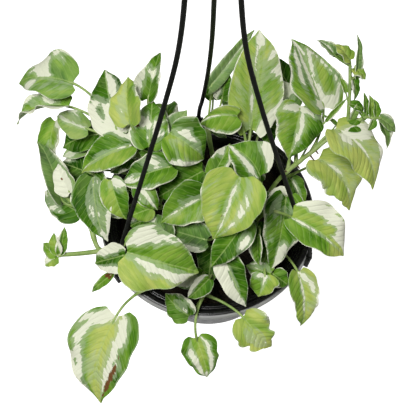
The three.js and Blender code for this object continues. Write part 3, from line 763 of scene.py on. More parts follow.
addVine("vine_03", [
    [(184, 190, -17), (176, 178, 14), (166, 166, 42), (158, 156, 58), (151, 149, 66)],
], [
    leaf((130, 124, 88), (128, 76, 99), 34, 0.98, roll=-15, fold=28, arch=0.08, tone=(0.36, 0.12),
         lively=1.5, margin=0, cream=[patch(0.25, -0.25, 0.14, 0.05), edge(1, 0.5, 0.8, 0.05)]),
    leaf((148, 99, 90), (160, 52, 106), 27, 0.99, fold=45, arch=0.05, tone=0.66, lively=1.5,
         cream=[edge(-1, 0.05, 0.62, 0.5), edge(1, 0.35, 0.62, 0.3), patch(0.5, 0, 0.06, 0.6)]),
    leaf((149, 147, 76), (153, 100, 92), 32, 0.95, fold=8, arch=0.05, tone=(0.6, 0.62),
         cream=[edge(-1, 0.3, 0.8, 0.25), patch(0.5, -0.2, 0.09, 0.7), edge(-1, 0, 0.3, 0.12),
                marbled(0.25, 0.3, 0.2, 0.5)], burn=patch(0.47, -0.75, 0.06, 0.2)),
    leaf((160, 144, 70), (187, 110, 82), 25, 0.9, roll=20, fold=14, arch=0.08, tone=0.6, wan=0.4,
         cream=[edge(-1, 0.5, 1, 0.14), pale(0.5, 0.2, 0.4, 0.6)]),
    leaf((170, 133, 88), (205, 159, 66), 40, 0.8, arch=0.14, tone=(0.4, 0.72), margin=0, crisp=1.6,
         cream=[edge(1, 0.3, 1.05, 0.28), patch(0.36, -0.26, 0.22, 0.13), patch(0.62, -0.16, 0.16, 0.1),
                edge(-1, 0, 0.25, 0.06), pale(0.4, 0.4, 0.4, 0.4)]),
    leaf((168, 162, 58), (137, 147, 64), 20, 0.5, arch=0.05, tone=0.75),
    leaf((178, 191, 18), (166, 208, 10), 18, 0.3, tone=1, cream=[]),
])

addVine("vine_04", [
    [(226, 196, -17), (220, 182, 10), (214, 162, 28), (210, 141, 38), (208, 122, 46)],
], [
    leaf((209, 88, 66), (254, 28, 83), 16, 0.99, roll=30, fold=30, via=(210, 104, 56), arch=0.07, tone=0.66,
         wan=0.35, margin=0, cream=[edge(-1, 0.1, 0.5, 0.16), streak(0, 0.3, 0.9, 0.12)]),
    leaf((213, 99, 52), (211, 74, 60), 15, 0.97, fold=20, arch=0.05, tone=0.9,
         cream=[edge(-1, 0.3, 0.9, 0.2)]),
    leaf((222, 99, 58), (227, 71, 70), 18, 0.94, fold=20, arch=0.05, tone=0.8,
         cream=[edge(-1, 0, 1, 0.7), green(0.5, -0.9, 0.2, 0.2)]),
    leaf((207, 121, 38), (227, 138, 26), 14, 0.75, arch=0.05, tone=0.85, wan=0.2,
         cream=[edge(-1, 0, 1, 0.6), marbled(0.5, 0.3, 0.4, 0.5)]),
    leaf((212, 177, 56), (231, 144, 64), 18, 0.4, fold=16, arch=0.05, tone=0.55, margin=0),
    leaf((189, 165, 46), (208, 175, 40), 13, 0.5, arch=0.05, tone=0.7, wan=0.3,
         cream=[patch(0.9, 0, 0.45, 0.9)]),
    leaf((238, 178, 24), (226, 158, 26), 20, 0.38, tone=1, cream=[]),
    leaf((200, 186, 14), (188, 206, 6), 20, 0.34, tone=1, cream=[]),
])

addVine("vine_05", [
    [(250, 200, -17), (249, 187, 14), (248, 169, 36), (247, 153, 48)],
], [
    leaf((251, 129, 60), (261, 29, 94), 46, 0.99, fold=12, arch=0.06, late=1.25, tone=(0.36, 0.22, 0.3),
         margin=0.03, lively=0.7, crisp=1.6,
         cream=[streak(-0.1, 0.22, 0.95, 0.05), edge(1, 0.05, 0.85, 0.1), patch(0.93, 0.2, 0.11, 0.6),
                patch(0.75, 0.72, 0.06, 0.2), patch(0.6, 0.8, 0.05, 0.2), patch(0.08, 0.8, 0.16, 0.4),
                edge(-1, 0.85, 1, 0.05), pale(0.5, 0, 0.7, 0.9)]),
    leaf((237, 116, 78), (199, 123, 68), 30, 0.97, fold=-35, arch=0.22, tone=(0.3, 0.5), crisp=1.8,
         cream=[edge(0, 0, 1.05, 0.09), streak(0, 0.5, 1, 0.05)]),
    leaf((260, 176, 66), (228, 146, 76), 38, 0.5, sway=0.1, fold=18, tone=(0.58, 0.62), margin=0.04,
         crisp=1.8,
         cream=[streak(-0.28, 0.08, 0.95, 0.12), edge(-1, 0.5, 1, 0.08), patch(0.22, 0.8, 0.26, 0.3),
                patch(0.98, 0, 0.12, 0.8)]),
    leaf((296, 100, 54), (268, 55, 69), 29, 0.9, fold=12, arch=0.06, tone=0.98, cream=[]),
    leaf((267, 118, 50), (270, 150, 40), 15, 0.8, arch=0.05, tone=0.95, cream=[]),
    leaf((262, 182, 36), (241, 173, 36), 16, 0.4, arch=0.05, tone=0.9, cream=[edge(1, 0, 1, 0.2)]),
    leaf((258, 198, 20), (274, 214, 10), 21, 0.25, tone=1, cream=[]),
])

addVine("vine_06", [
    [(262, 206, -17), (268, 194, 14), (280, 178, 38), (300, 161, 56), (318, 147, 66), (333, 135, 72),
     (346, 125, 77), (349, 104, 88), (350, 84, 98), (350, 64, 106)],
    [(344, 127, 76), (356, 122, 78), (366, 117, 80), (374, 118, 80), (381, 118, 78)],
], [
    leaf((300, 106, 84), (288, 158, 68), 43, 0.5, fold=12, arch=0.12, tone=(0.4, 0.78, 0.5), margin=0,
         crisp=2,
         cream=[edge(1, 0, 1.05, 0.09), streak(-0.14, 0.1, 0.8, 0.08), patch(0.04, 0.1, 0.08, 0.8),
                pale(0.5, -0.36, 0.35, 0.25), pale(0.4, 0.5, 0.4, 0.4)]),
    leaf((325, 108, 80), (295, 37, 98), 45, 0.58, fold=16, arch=0.06, sway=-0.05, tone=(0.46, 0.5),
         margin=0.03, lively=1.3, crisp=2.2,
         cream=[patch(0.36, 0.46, 0.42, 0.46), green(0.38, 0.46, 0.29, 0.3), green(0.5, 1.02, 0.36, 0.22),
                streak(-0.12, 0.2, 0.92, 0.09), streak(-0.48, 0.3, 0.9, 0.11),
                patch(0.78, 0.12, 0.16, 0.08), edge(-1, 0.3, 1, 0.07), patch(0.97, -0.3, 0.08, 0.5),
                patch(0.03, 0.1, 0.1, 0.5)]),
    leaf((292, 108, 63), (283, 80, 69), 21, 0.45, arch=0.05, tone=0.5, wan=0.2,
         cream=[patch(0.75, 0, 0.6, 1.2), green(0.1, 0.35, 0.35, 0.9), marbled(0.4, 0, 0.3, 0.6)]),
    leaf((335, 129, 80), (376, 188, 52), 41, 0.6, arch=0.12, sway=-0.1, tone=(0.06, 0.0), margin=0,
         lively=1.3, crisp=1.5,
         cream=[patch(0.22, -0.35, 0.13, 0.75), edge(-1, 0.5, 1.05, 0.3), green(0.02, -0.6, 0.1, 0.4),
                streak(0, 0, 0.45, 0.05), pale(0.6, -0.4, 0.5, 0.6)]),
    leaf((346, 127, 78), (366, 128, 72), 11, 0.68, arch=0.2, tone=0.75, cream=[]),
    leaf((337, 132, 68), (338, 153, 58), 13, 0.57, tone=0.88, cream=[]),
    leaf((350, 104, 88), (362, 115, 78), 9, 0.8, arch=0.3, tone=0.7, cream=[]),
    leaf((353, 77, 98), (355, 101, 88), 10, 0.9, fold=24, tone=0.7, cream=[edge(1, 0, 0.7, 0.4)]),
    leaf((354, 68, 104), (366, 79, 100), 12, 0.96, tone=0.3, cream=[edge(1, 0.3, 1, 0.2)]),
    leaf((357, 76, 100), (359, 34, 120), 9, 0.94, fold=30, arch=0.05, tone=0.66, wan=0.3,
         cream=[edge(1, 0, 0.6, 0.3)]),
    leaf((347, 61, 106), (329, 54, 104), 8, 0.98, tone=0.6, cream=[edge(1, 0, 1, 0.3)]),
    leaf((350, 60, 108), (334, 44, 114), 15, 0.99, fold=16, tone=0.22, lively=1.6, cream=[]),
    leaf((334, 54, 111), (317, 40, 112), 12, 0.995, fold=20, tone=0.72, wan=0.2,
         cream=[edge(0, 0, 1, 0.2), streak(0, 0, 1, 0.1)]),
    leaf((366, 114, 80), (364, 92, 88), 7, 0.6, on=1, fold=30, arch=0.05, tone=0.75, cream=[]),
    leaf((371, 116, 80), (370, 95, 90), 10, 0.75, on=1, fold=30, arch=0.05, tone=0.5,
         cream=[edge(1, 0.2, 0.9, 0.12)]),
    leaf((376, 116, 80), (375, 99, 88), 8, 0.85, on=1, fold=30, arch=0.05, tone=0.6, cream=[]),
    leaf((380, 118, 78), (396, 132, 66), 13, 0.95, on=1, fold=20, arch=0.08, tone=0.65, wan=0.3,
         cream=[edge(-1, 0, 0.7, 0.3)]),
    leaf((380, 119, 76), (388, 149, 58), 13, 0.97, on=1, fold=24, arch=0.08, tone=0.6, wan=0.2,
         cream=[edge(-1, 0.4, 1, 0.3)]),
], sprigs=[
    leaf((327, 120, 84), (347, 98, 92), 7, 0.52, fold=50, arch=0.04, tone=0.6, cream=[edge(1, 0, 1, 0.3)]),
    leaf((337, 126, 76), (322, 114, 86), 6, 0.6, fold=50, arch=0.04, tone=0.7, cream=[]),
    leaf((352, 118, 82), (357, 104, 90), 8, 0.7, fold=30, tone=0.5, wan=0.2, cream=[edge(-1, 0, 1, 0.3)]),
    leaf((346, 92, 94), (340, 78, 98), 8, 0.84, fold=30, tone=0.45, cream=[edge(1, 0.1, 0.8, 0.3)]),
    leaf((364, 120, 80), (358, 108, 84), 6, 0.55, on=1, fold=40, arch=0.05, tone=0.7, cream=[]),
    leaf((374, 120, 80), (368, 131, 74), 8, 0.8, on=1, fold=30, tone=0.6, cream=[edge(1, 0, 0.8, 0.3)]),
], taper=0.5)

addVine("vine_07", [
    [(280, 214, -17), (286, 202, -2), (289, 189, 10), (288, 176, 18)],
], [
    leaf((318, 159, 56), (350, 211, 30), 44, 0.99, via=(301, 170, 36), sway=-0.14, tone=(0.12, 0.02),
         margin=0, lively=1.5, notches=(6.5, 0.12), crisp=1.4,
         cream=[streak(-0.02, 0.05, 0.95, 0.05), edge(-1, 0.55, 0.95, 0.08), pale(0.5, -0.4, 0.4, 0.4),
                edge(1, 0.05, 0.5, 0.04)]),
    leaf((291, 179, 20), (304, 207, 10), 18, 0.85, fold=22, arch=0.08, tone=(0.9, 0.6),
         cream=[streak(0, 0, 1, 0.08), edge(1, 0, 0.8, 0.1)]),
    leaf((287, 196, 42), (268, 195, 38), 15, 0.7, tone=0.6, cream=[patch(0.5, 0, 0.9, 1.5)]),
])

addVine("vine_08", [
    [(252, 237, -17), (255, 222, 18), (264, 214, 40), (276, 211, 52)],
], [
    leaf((292, 217, 84), (345, 256, 60), 37, 0.98, via=(286, 214, 74), fold=12, sway=-0.05, lean=-0.18,
         late=1.2, tone=(0.6, 0.24), tipTone=0.02, lively=1.2, margin=0.02, curl=(0.02, 0.06), crisp=2.2,
         cream=[edge(-1, 0.02, 1, 0.5), patch(0.72, -0.62, 0.27, 0.42), green(0.3, -0.2, 0.2, 0.26),
                green(0.54, -0.28, 0.13, 0.24), green(1.04, 0.1, 0.2, 0.8), green(0.45, -1.05, 0.22, 0.14),
                pale(0.42, 0.15, 0.24, 0.45), streak(0.1, 0.2, 0.5, 0.04)]),
    leaf((286, 197, 50), (272, 270, 24), 38, 0.9, roll=-10, fold=12, sway=0.02, tone=(0.68, 0.6, 0.66),
         margin=0.02, lively=1.3, crisp=1.5,
         cream=[edge(1, 0.3, 1, 0.07), patch(0.86, -0.42, 0.2, 0.5), edge(-1, 0.4, 1, 0.2),
                pale(0.3, 0.4, 0.4, 0.4), marbled(0.15, -0.2, 0.14, 0.4)]),
    leaf((258, 236, 52), (259, 266, 36), 16, 0.55, roll=30, fold=50, arch=0.08, tone=0.7,
         cream=[edge(0, 0, 1, 0.16)]),
    leaf((270, 238, 34), (262, 266, 24), 18, 0.5, arch=0.08, tone=0.95, cream=[]),
    leaf((271, 273, 20), (246, 266, 22), 20, 0.4, fold=15, tone=0.66,
         cream=[edge(-1, 0, 1, 0.14), patch(0.4, 0.15, 0.35, 0.08), patch(0.6, 0.6, 0.2, 0.12)]),
    leaf((265, 275, 26), (259, 297, 18), 24, 0.38, fold=8, tone=(0.4, 0.3), lively=1.4,
         cream=[patch(0.04, 0.3, 0.12, 0.5), streak(0, 0, 0.3, 0.06)]),
    leaf((273, 274, 16), (288, 285, 8), 17, 0.36, fold=8, tone=0.62, cream=[edge(1, 0, 0.7, 0.2)]),
    leaf((298, 272, 8), (302, 327, -26), 28, 0.34, fold=24, arch=0.08, sway=-0.06, tone=(0.3, 0.1),
         lively=1.5, notches=(4.5, 0.1), margin=0.03, crisp=1.3,
         cream=[patch(0.1, -0.25, 0.1, 0.3), patch(0.24, -0.55, 0.12, 0.25), streak(0.06, 0.2, 0.75, 0.06),
                edge(-1, 0.25, 0.8, 0.14), pale(0.5, -0.4, 0.45, 0.5)]),
    leaf((258, 222, 34), (252, 246, 26), 22, 0.4, arch=0.08, tone=0.92),
    leaf((280, 226, 12), (290, 244, 4), 17, 0.32, tone=0.95),
])

addVine("vine_09", [
    [(212, 266, -17), (210, 277, -5), (207, 287, 0), (204, 295, 2)],
], [
    leaf((243, 317, 4), (271, 348, -18), 33, 0.99, fold=12, arch=0.14, tone=(0.1, 0.12), lively=1.6,
         notches=(3.6, 0.26), margin=0, cream=[edge(-1, 0.05, 0.7, 0.1), pale(0.5, 0.2, 0.4, 0.5)]),
    leaf((189, 316, 6), (165, 294, 12), 25, 0.97, fold=20, arch=0.14, tone=0.82, lively=1.8,
         curl=(0.2, 0.12), cream=[edge(1, 0, 1.05, 0.14), pale(0.4, 0.2, 0.3, 0.4)]),
    leaf((196, 338, -12), (208, 378, -36), 31, 0.98, via=(191, 318, 9), sway=-0.04, tone=(0.68, 0.68, 0.35),
         lively=1.8, margin=0, crisp=1.8, curl=(0.08, 0.14),
         cream=[streak(0.5, 0.15, 0.95, 0.15), streak(-0.45, 0.0, 0.85, 0.12), patch(0.92, 0.1, 0.1, 0.3)]),
    leaf((209, 279, 34), (188, 299, 20), 16, 0.7, fold=20, arch=0.06, tone=0.75, cream=[edge(1, 0, 1, 0.55)]),
    leaf((202, 274, 30), (177, 287, 24), 17, 0.6, arch=0.06, tone=0.75, cream=[patch(0.6, 0.2, 0.4, 0.8)]),
    leaf((212, 245, 28), (208, 286, 18), 22, 0.3, fold=12, arch=0.08, tone=0.92, cream=[]),
    leaf((224, 257, 50), (245, 308, 22), 24, 0.45, fold=15, arch=0.08, tone=(0.75, 0.85), late=0.9,
         cream=[edge(1, 0, 1.05, 0.95), patch(1, 0, 0.2, 0.8)]),
])

addVine("vine_10", [
    [(168, 250, -17), (161, 263, 2), (151, 277, 9), (142, 291, 9)],
], [
    leaf((117, 316, -4), (98, 404, -40), 57, 0.99, arch=0.08, sway=0.08, lively=0.8, tone=(0.6, 0.66, 0.0),
         margin=0, crisp=1.5,
         cream=[streak(0.66, 0.04, 0.74, 0.11), patch(0.05, 0.45, 0.08, 0.5),
                streak(-0.43, -0.05, 0.85, 0.16), patch(0.5, -0.6, 0.05, 0.14), edge(1, 0.5, 1.02, 0.22),
                pale(0.6, 0, 0.4, 0.5)], burn=streak(-0.62, 0.48, 0.95, 0.13)),
    leaf((127, 252, 74), (200, 271, 58), 52, 0.5, via=(138, 264, 46), fold=12, late=0.9,
         tone=(0.14, 0.55, 0.46), margin=0, lively=0.8, crisp=1.7,
         cream=[patch(0.17, -0.64, 0.21, 0.3), patch(0.4, -0.8, 0.14, 0.1), green(-0.07, -0.85, 0.14, 0.35),
                green(0.28, -0.36, 0.1, 0.14), patch(0.3, 0.16, 0.12, 0.07), patch(0.46, 0.28, 0.14, 0.08),
                patch(0.62, 0.42, 0.13, 0.12), patch(0.78, 0.6, 0.16, 0.24), edge(-1, 0.35, 0.98, 0.04),
                pale(0.15, 0.2, 0.2, 0.3), pale(0.45, 0.35, 0.3, 0.25)]),
    leaf((125, 255, 52), (94, 263, 38), 24, 0.6, fold=14, tone=0.8,
         cream=[edge(1, 0, 0.75, 0.6), edge(-1, 0.1, 1, 0.45)]),
    leaf((112, 274, 26), (91, 292, 14), 9, 0.8, fold=30, tone=0.6, cream=[edge(1, 0.3, 1, 0.25)],
         burn=patch(0.05, 0, 0.14, 0.8)),
    leaf((176, 258, 10), (190, 274, 6), 20, 0.3, tone=1, cream=[]),
])

addVine("vine_11", [
    [(180, 220, -17), (171, 213, 16), (161, 206, 38), (152, 200, 50)],
], [
    leaf((172, 166, 72), (121, 185, 58), 29, 0.9, fold=14, arch=0.12, tone=(0.84, 0.6), lively=1.4,
         cream=[patch(0.86, 0.1, 0.14, 0.35), edge(-1, 0.3, 1, 0.08), patch(0.3, 0.5, 0.12, 0.3),
                marbled(0.7, 0, 0.2, 0.5)]),
    leaf((203, 171, 60), (158, 198, 52), 38, 0.4, fold=14, arch=0.08, tone=(0.72, 0.88, 0.76), margin=0,
         cream=[]),
    leaf((111, 180, 58), (125, 220, 40), 24, 0.98, fold=15, tone=(0.28, 0.6), margin=0,
         cream=[patch(0.12, -0.45, 0.14, 0.5)]),
    leaf((125, 206, 38), (107, 213, 32), 18, 0.8, arch=0.08, tone=0.7, wan=0.4,
         cream=[patch(0.5, 0, 0.8, 1.0)]),
    leaf((139, 184, 66), (158, 210, 54), 20, 0.95, fold=15, arch=0.08, tone=(0.66, 0.6),
         cream=[streak(0, 0, 1, 0.2), marbled(0.4, 0.4, 0.3, 0.4)]),
    leaf((152, 208, 54), (131, 216, 46), 19, 0.7, arch=0.08, tone=0.4, margin=0, cream=[]),
    leaf((93, 177, 48), (105, 242, 26), 35, 0.96, fold=16, tone=(0.82, 0.7), lively=1.3, margin=0,
         cream=[marbled(0.5, -0.2, 0.56, 0.7), edge(-1, 0.45, 1.05, 0.4), edge(-1, 0.1, 0.6, 0.12),
                patch(0.98, 0, 0.2, 0.8)]),
    leaf((166, 240, 44), (150, 214, 48), 25, 0.3, arch=0.08, tone=0.8, wan=0.15,
         cream=[patch(0.85, 0, 0.2, 0.5), streak(0, 0.2, 0.9, 0.07)]),
    leaf((122, 186, 42), (112, 206, 34), 18, 0.9, tone=0.9),
    leaf((150, 218, 22), (130, 226, 14), 20, 0.4, tone=0.9),
])

addVine("vine_12", [
    [(224, 222, -17), (228, 213, 20), (234, 201, 48), (239, 192, 64)],
], [
    leaf((240, 177, 92), (215, 240, 70), 51, 0.99, tone=(0.2, 0.26, 0.3), margin=0, crisp=2.2,
         cream=[streak(0.03, 0.02, 0.42, 0.05), streak(0, 0.4, 0.97, 0.035), patch(0.28, -0.4, 0.12, 0.05),
                patch(0.46, -0.5, 0.12, 0.06), patch(0.66, -0.42, 0.13, 0.06), pale(0.45, 0.3, 0.6, 0.7),
                edge(1, 0.85, 1, 0.05)], burn=patch(0.62, 0.1, 0.02, 0.04)),
    leaf((206, 196, 64), (160, 221, 56), 34, 0.7, fold=14, arch=0.08, tone=(0.64, 0.45), margin=0.02,
         crisp=1.8,
         cream=[streak(0.03, 0.1, 0.88, 0.05), pale(0.4, 0.3, 0.2, 0.3), edge(-1, 0.02, 0.95, 0.07),
                pale(0.45, -0.5, 0.6, 0.55)]),
    leaf((207, 240, 46), (168, 229, 40), 26, 0.4, fold=12, arch=0.08, tone=0.85, wan=0.15,
         cream=[edge(-1, 0.05, 0.9, 0.35), edge(1, 0, 1, 0.06)]),
    leaf((245, 222, 64), (211, 267, 54), 31, 0.6, fold=20, tone=(0.62, 0.85), margin=0.03, crisp=1.4,
         cream=[patch(0.32, -0.62, 0.13, 0.24), edge(-1, 0.5, 0.95, 0.05), edge(1, 0.1, 0.5, 0.06)]),
    leaf((216, 214, 34), (196, 232, 26), 24, 0.35, tone=0.95),
])

addVine("vine_13", [
    [(244, 162, -17), (247, 148, 0), (250, 134, 9), (254, 122, 14), (262, 112, 15)],
], [
    leaf((264, 112, 18), (285, 99, -2), 28, 0.98, roll=-12, fold=12, arch=0.14, tone=0.48),
    leaf((252, 114, 22), (247, 90, 4), 31, 0.85, roll=8, arch=0.16, tone=0.5),
    leaf((240, 118, 14), (226, 102, -10), 23, 0.75, fold=22, arch=0.14, tone=0.7),
    leaf((276, 122, 24), (304, 115, 10), 26, 0.8, roll=-18, fold=12, arch=0.12, tone=0.54),
    leaf((262, 106, 28), (271, 84, 22), 22, 0.95, fold=12, tone=0.5),
])

addVine("vine_14", [
    [(186, 160, -17), (182, 150, -2), (176, 141, 7), (168, 133, 11), (160, 128, 11)],
], [
    leaf((158, 127, 16), (142, 108, 2), 28, 0.98, roll=10, fold=12, arch=0.14, tone=0.6),
    leaf((168, 124, 12), (169, 104, -9), 21, 0.9, fold=20, arch=0.14, tone=0.66),
    leaf((150, 138, 18), (124, 135, 5), 28, 0.8, roll=16, arch=0.14, tone=0.8),
    leaf((142, 150, 12), (118, 157, -8), 23, 0.7, fold=16, arch=0.14, tone=0.85),
])

# Blades, petioles and stems, in millimetres, with shares of a blade's length or of its half width
bladeShape = {
    "rows": 52,
    "columns": 24,
    "smallRows": 26,
    "smallColumns": 12,
    "smallWidth": 15,
    "thickness": 0.5,
    "outward": 0.004,
    "frontward": 0.3,
    "lobe": 0.11,
    "foldSoftness": 1.4,
    "droop": 0.05,
    "hook": 0.03,
    "veinGap": 5.2,
    "veinLean": 0.6,
    "veinCurve": 0.016,
    "quilt": 0.45,
    "groove": 0.42,
    "grooveWidth": 1.1,
    "wave": 0.05,
    "waveBeats": (1.3, 2.8),
    "waveShare": (0.7, 1.4),
    "wobble": 0.045,
    "slowBeats": (0.9, 1.7),
    "quickBeats": (2.2, 3.6),
    "skew": 0.07,
    "twist": 14,
    "curl": (-0.03, 0.1),
    "margin": 0.05,
    "tipTones": (0.62, 0.22),
}
outlineShape = {
    "base": 0.36,
    "shoulderEnd": 0.36,
    "shoulderCurve": (2.2, 0.6),
    "fullness": 1.1,
    "tipCurve": (2.6, 0.95),
    "drawn": 0.28,
    "drawnPlace": (0.95, 0.07),
}
stemShape = {
    "radius": 2.1,
    "node": 0.26,
    "nodeLength": 0.018,
    "petiole": 1.15,
    "slimmest": 0.45,
    "fullWidth": 40,
    "sheath": 1.9,
    "sheathEnd": 0.3,
    "neck": 1.0,
    "knee": 0.22,
    "kneePlace": (0.93, 0.06),
    "midrib": 0.7,
    "midribTip": 0.12,
    "midribEnds": (0.1, 0.86),
    "rootDepth": 39,
    "rootShare": 0.75,
    "nubLength": (3, 5.5),
    "nubRadii": (0.95, 0.45),
}


def bladeFrame(look):  # blades face up, a little outwards and a little to the front
    base = seen(look["base"])
    axis = seen(look["tip"]) - base
    length = axis.length
    axis.normalize()
    outward = (base - rimCentre) / mm * bladeShape["outward"]
    facing = Vector((outward.x, outward.y - bladeShape["frontward"], 1))
    normal = (facing - axis * facing.dot(axis)).normalized()
    normal = Matrix.Rotation(math.radians(look["roll"]), 3, axis) @ normal
    return base, axis, axis.cross(normal), normal, length


def veinStart(t, reach, length):  # where on the midrib the side vein at a place begins, in millimetres
    out = np.abs(reach) / mm
    return t * length / mm - bladeShape["veinLean"] * out - bladeShape["veinCurve"] * out ** 2


def hump(x, place, reach):  # 1 at a place, and nothing away from it
    return np.exp(-((x - place) / reach) ** 2)


def bladeHalf(look, t):  # the outline, as a share of half the width: a shoulder that narrows to a drawn tip
    shape = outlineShape
    late = np.clip(t, 0, 1) ** look["late"]
    outer, inner = shape["shoulderCurve"]
    shoulder = (1 - np.clip(1 - late / shape["shoulderEnd"], 0, 1) ** outer) ** inner
    shoulder = shape["base"] + (1 - shape["base"]) * shoulder
    outer, inner = shape["tipCurve"]
    drawn = 1 - shape["drawn"] * hump(late, *shape["drawnPlace"])
    return shape["fullness"] * shoulder * (1 - late ** outer) ** inner * drawn


def growth(look, t, a, chance):  # how a grown blade's outline and surface stray from the plain one
    shape, lively = bladeShape, look["lively"]
    outline, rise = 1 + look["lean"] * a, np.zeros(t.shape)
    fade = np.sin(np.clip(t, 0, 1) * math.pi) ** 0.6
    curls = look.get("curl", (chance.uniform(*shape["curl"]), chance.uniform(*shape["curl"])))
    for way, curl in zip((1, -1), curls):
        out = np.clip(a * way, 0, 1)
        slow = beat(t, shape["slowBeats"], chance)
        quick = beat(t, shape["quickBeats"], chance)
        stray = chance.uniform(-1, 1) * shape["skew"] + shape["wobble"] * lively * (slow + 0.6 * quick)
        outline += out * stray * fade
        wave = beat(t, shape["waveBeats"], chance)
        rise += shape["wave"] * lively * wave * out ** 2.5 * fade * chance.uniform(*shape["waveShare"])
        rolled = curl * out ** 3.5 * fade * (1 + 0.5 * slow)
        rise -= rolled
        outline -= 0.8 * np.abs(rolled)
    if "notches" in look:
        count, depth = look["notches"]
        outline -= depth * np.abs(a) * np.abs(np.cos(math.pi * count * t)) ** 6 * np.clip(t * 3 - 0.6, 0, 1)
    turn = math.radians(chance.uniform(-1, 1) * shape["twist"] * lively)
    rise += 0.5 * a * bladeHalf(look, t) * np.sin(turn * (t - 0.3))
    return outline, rise * look["width"] * mm


def bladePoints(look, t, a, chance=None):  # a row of points for rows of shares along and across
    base, axis, side, normal, length = bladeFrame(look)
    shape = bladeShape
    fold = math.radians(look["fold"])
    reach = look["width"] * mm / 2 * bladeHalf(look, t) * a
    size = np.abs(a)
    lobe = shape["lobe"] * (size ** 1.6 - 0.3 * size ** 8) * (1 - t) ** 4
    bow = 4 * length * t * (1 - t)
    tip = np.clip((t - 0.7) / 0.3, 0, 1) ** 2 * length
    sway = look["sway"] * bow + shape["hook"] * math.sin(look["base"][0]) * tip
    rise = look["arch"] * bow - shape["droop"] * tip
    if chance:
        outline, stray = growth(look, t, a, chance)
        reach = reach * outline
        phase = veinStart(t, reach, length) / shape["veinGap"]
        phase = phase + 0.3 * np.sin(0.9 * phase + 6 * chance.random())
        phase = phase + 0.1 * np.sin(4 * a + 6 * chance.random())
        quilt = shape["quilt"] * mm * (0.5 - 0.5 * np.cos(2 * math.pi * phase)) * 4 * size * (1 - size)
        groove = shape["groove"] * mm * hump(reach / mm, 0, shape["grooveWidth"]) * (1 - t)
        rise = rise + stray + quilt * np.sin(np.clip(t, 0, 1) * math.pi) - groove
    soft = shape["foldSoftness"] * mm
    rise = rise + (np.sqrt(reach ** 2 + soft ** 2) - soft) * math.sin(fold)
    places = np.outer(t - lobe, np.array(axis) * length)
    places += np.outer(sway + reach * math.cos(fold), np.array(side))
    places += np.outer(rise, np.array(normal))
    return places + np.array(base), reach


def bladePoint(look, t):  # a point on the midrib
    return Vector(bladePoints(look, np.array([t]), np.array([0.0]))[0][0])


def makeBlank(name, columns, rows):
    deselect()
    bpy.ops.mesh.primitive_grid_add(x_subdivisions=columns, y_subdivisions=rows, size=2, location=(0, 0, 0))
    blank = bpy.context.object
    blank.name = blank.data.name = name
    return blank


def setField(mesh, name, values, kind="FLOAT"):
    field = mesh.attributes.new(name, kind, "POINT")
    field.data.foreach_set("vector" if kind == "FLOAT_VECTOR" else "value", np.ravel(values))


firstSeed = 500
patternStep = 7.3  # how far apart two blades' patterns of noise are taken


# The blade's green comes from its tones, which are partly painted light and shade.
def greenTone(look, tone, t, a):
    right, left, middle = (*tone, None)[:3] if isinstance(tone, tuple) else (tone, tone, None)
    green = left + (right - left) * np.clip(a / 0.16 + 0.5, 0, 1)
    if middle is not None:
        green = green + (middle - green) * np.exp(-(a / 0.45) ** 4)
    if "tipTone" in look:
        start, length = bladeShape["tipTones"]
        green = green + (look["tipTone"] - green) * np.clip((t - start) / length, 0, 1)
    return green


def makeBlade(name, look, blank, number):
    blade = copyOf(blank, name)
    mesh = blade.data
    flat = np.zeros(len(mesh.vertices) * 3)
    mesh.vertices.foreach_get("co", flat)
    flat = flat.reshape(-1, 3)
    a = np.sign(flat[:, 0]) * np.abs(flat[:, 0]) ** 1.2
    t = np.clip((flat[:, 1] + 1) / 2, 0, 1)
    chance = random.Random(firstSeed + number)
    places, reach = bladePoints(look, t, a, chance)
    mesh.vertices.foreach_set("co", places.ravel())
    vein = veinStart(t, reach, bladeFrame(look)[4])
    # A leaf with no tone of its own gets a dark green. This is partly painted shade for the low leaves inside
    # the plant.
    tone = look.get("tone", chance.uniform(0.78, 1))
    zones = look["cream"] if "cream" in look else chanceZones(chance)
    margin = look.get("margin", bladeShape["margin"] if zones else 0)
    cream = creamField(zones, margin, t, a, chance) * look["crisp"]
    burn = zoneField(look["burn"], t, a) if "burn" in look else np.full(t.shape, -1.0)
    layer = np.full(t.shape, number * patternStep)
    setField(mesh, "veinPlace", np.stack([vein, reach / mm, layer], 1), "FLOAT_VECTOR")
    setField(mesh, "creamField", cream)
    setField(mesh, "greenTone", greenTone(look, tone, t, a))
    setField(mesh, "veinPhase", vein / bladeShape["veinGap"] + chance.random())
    setField(mesh, "burnField", burn)
    setField(mesh, "wanField", np.full(t.shape, look["wan"]))
    return blade


def petioleRoute(look, stem):
    shape = stemShape
    base, axis, _, normal, _ = bladeFrame(look)
    begin, end = along(stem, look["start"]), bladePoint(look, 0.06)
    span = (end - begin).length
    behind = max(0, (end - begin).dot(axis) / span)
    bend = base - axis * (0.08 + 0.27 * behind) * span - normal * (0.3 - 0.15 * behind) * span
    if "via" in look:
        bend = seen(look["via"])
    slim = min(1, shape["slimmest"] + look["width"] / shape["fullWidth"])
    route = []
    for share in np.linspace(0, 1, 17):
        place = begin.lerp(bend, share).lerp(bend.lerp(end, share), share)
        sheath = (shape["sheath"] - shape["petiole"]) * max(0, 1 - share / shape["sheathEnd"]) ** 1.5
        knee = shape["knee"] * hump(share, *shape["kneePlace"])
        radius = shape["petiole"] + sheath + knee + (shape["neck"] - shape["petiole"]) * share
        route.append((place - normal * 0.5 * mm * share ** 6, radius * slim * mm))
    for t in np.linspace(*shape["midribEnds"], 10):
        radius = (shape["midrib"] * (1 - t) + shape["midribTip"]) * slim
        route.append((bladePoint(look, t) - normal * (radius + 0.1) * mm, radius * mm))
    return route


def stemLine(places, rooted):
    points = [seen(place) for place in places]
    if rooted:
        foot = points[0]
        deep, high = foot.copy(), foot.copy()
        deep.z, high.z = rimCentre.z - stemShape["rootDepth"] * mm, rimCentre.z - 5 * mm
        points[:1] = [deep, foot, high]
    return throughPoints(points, 72)


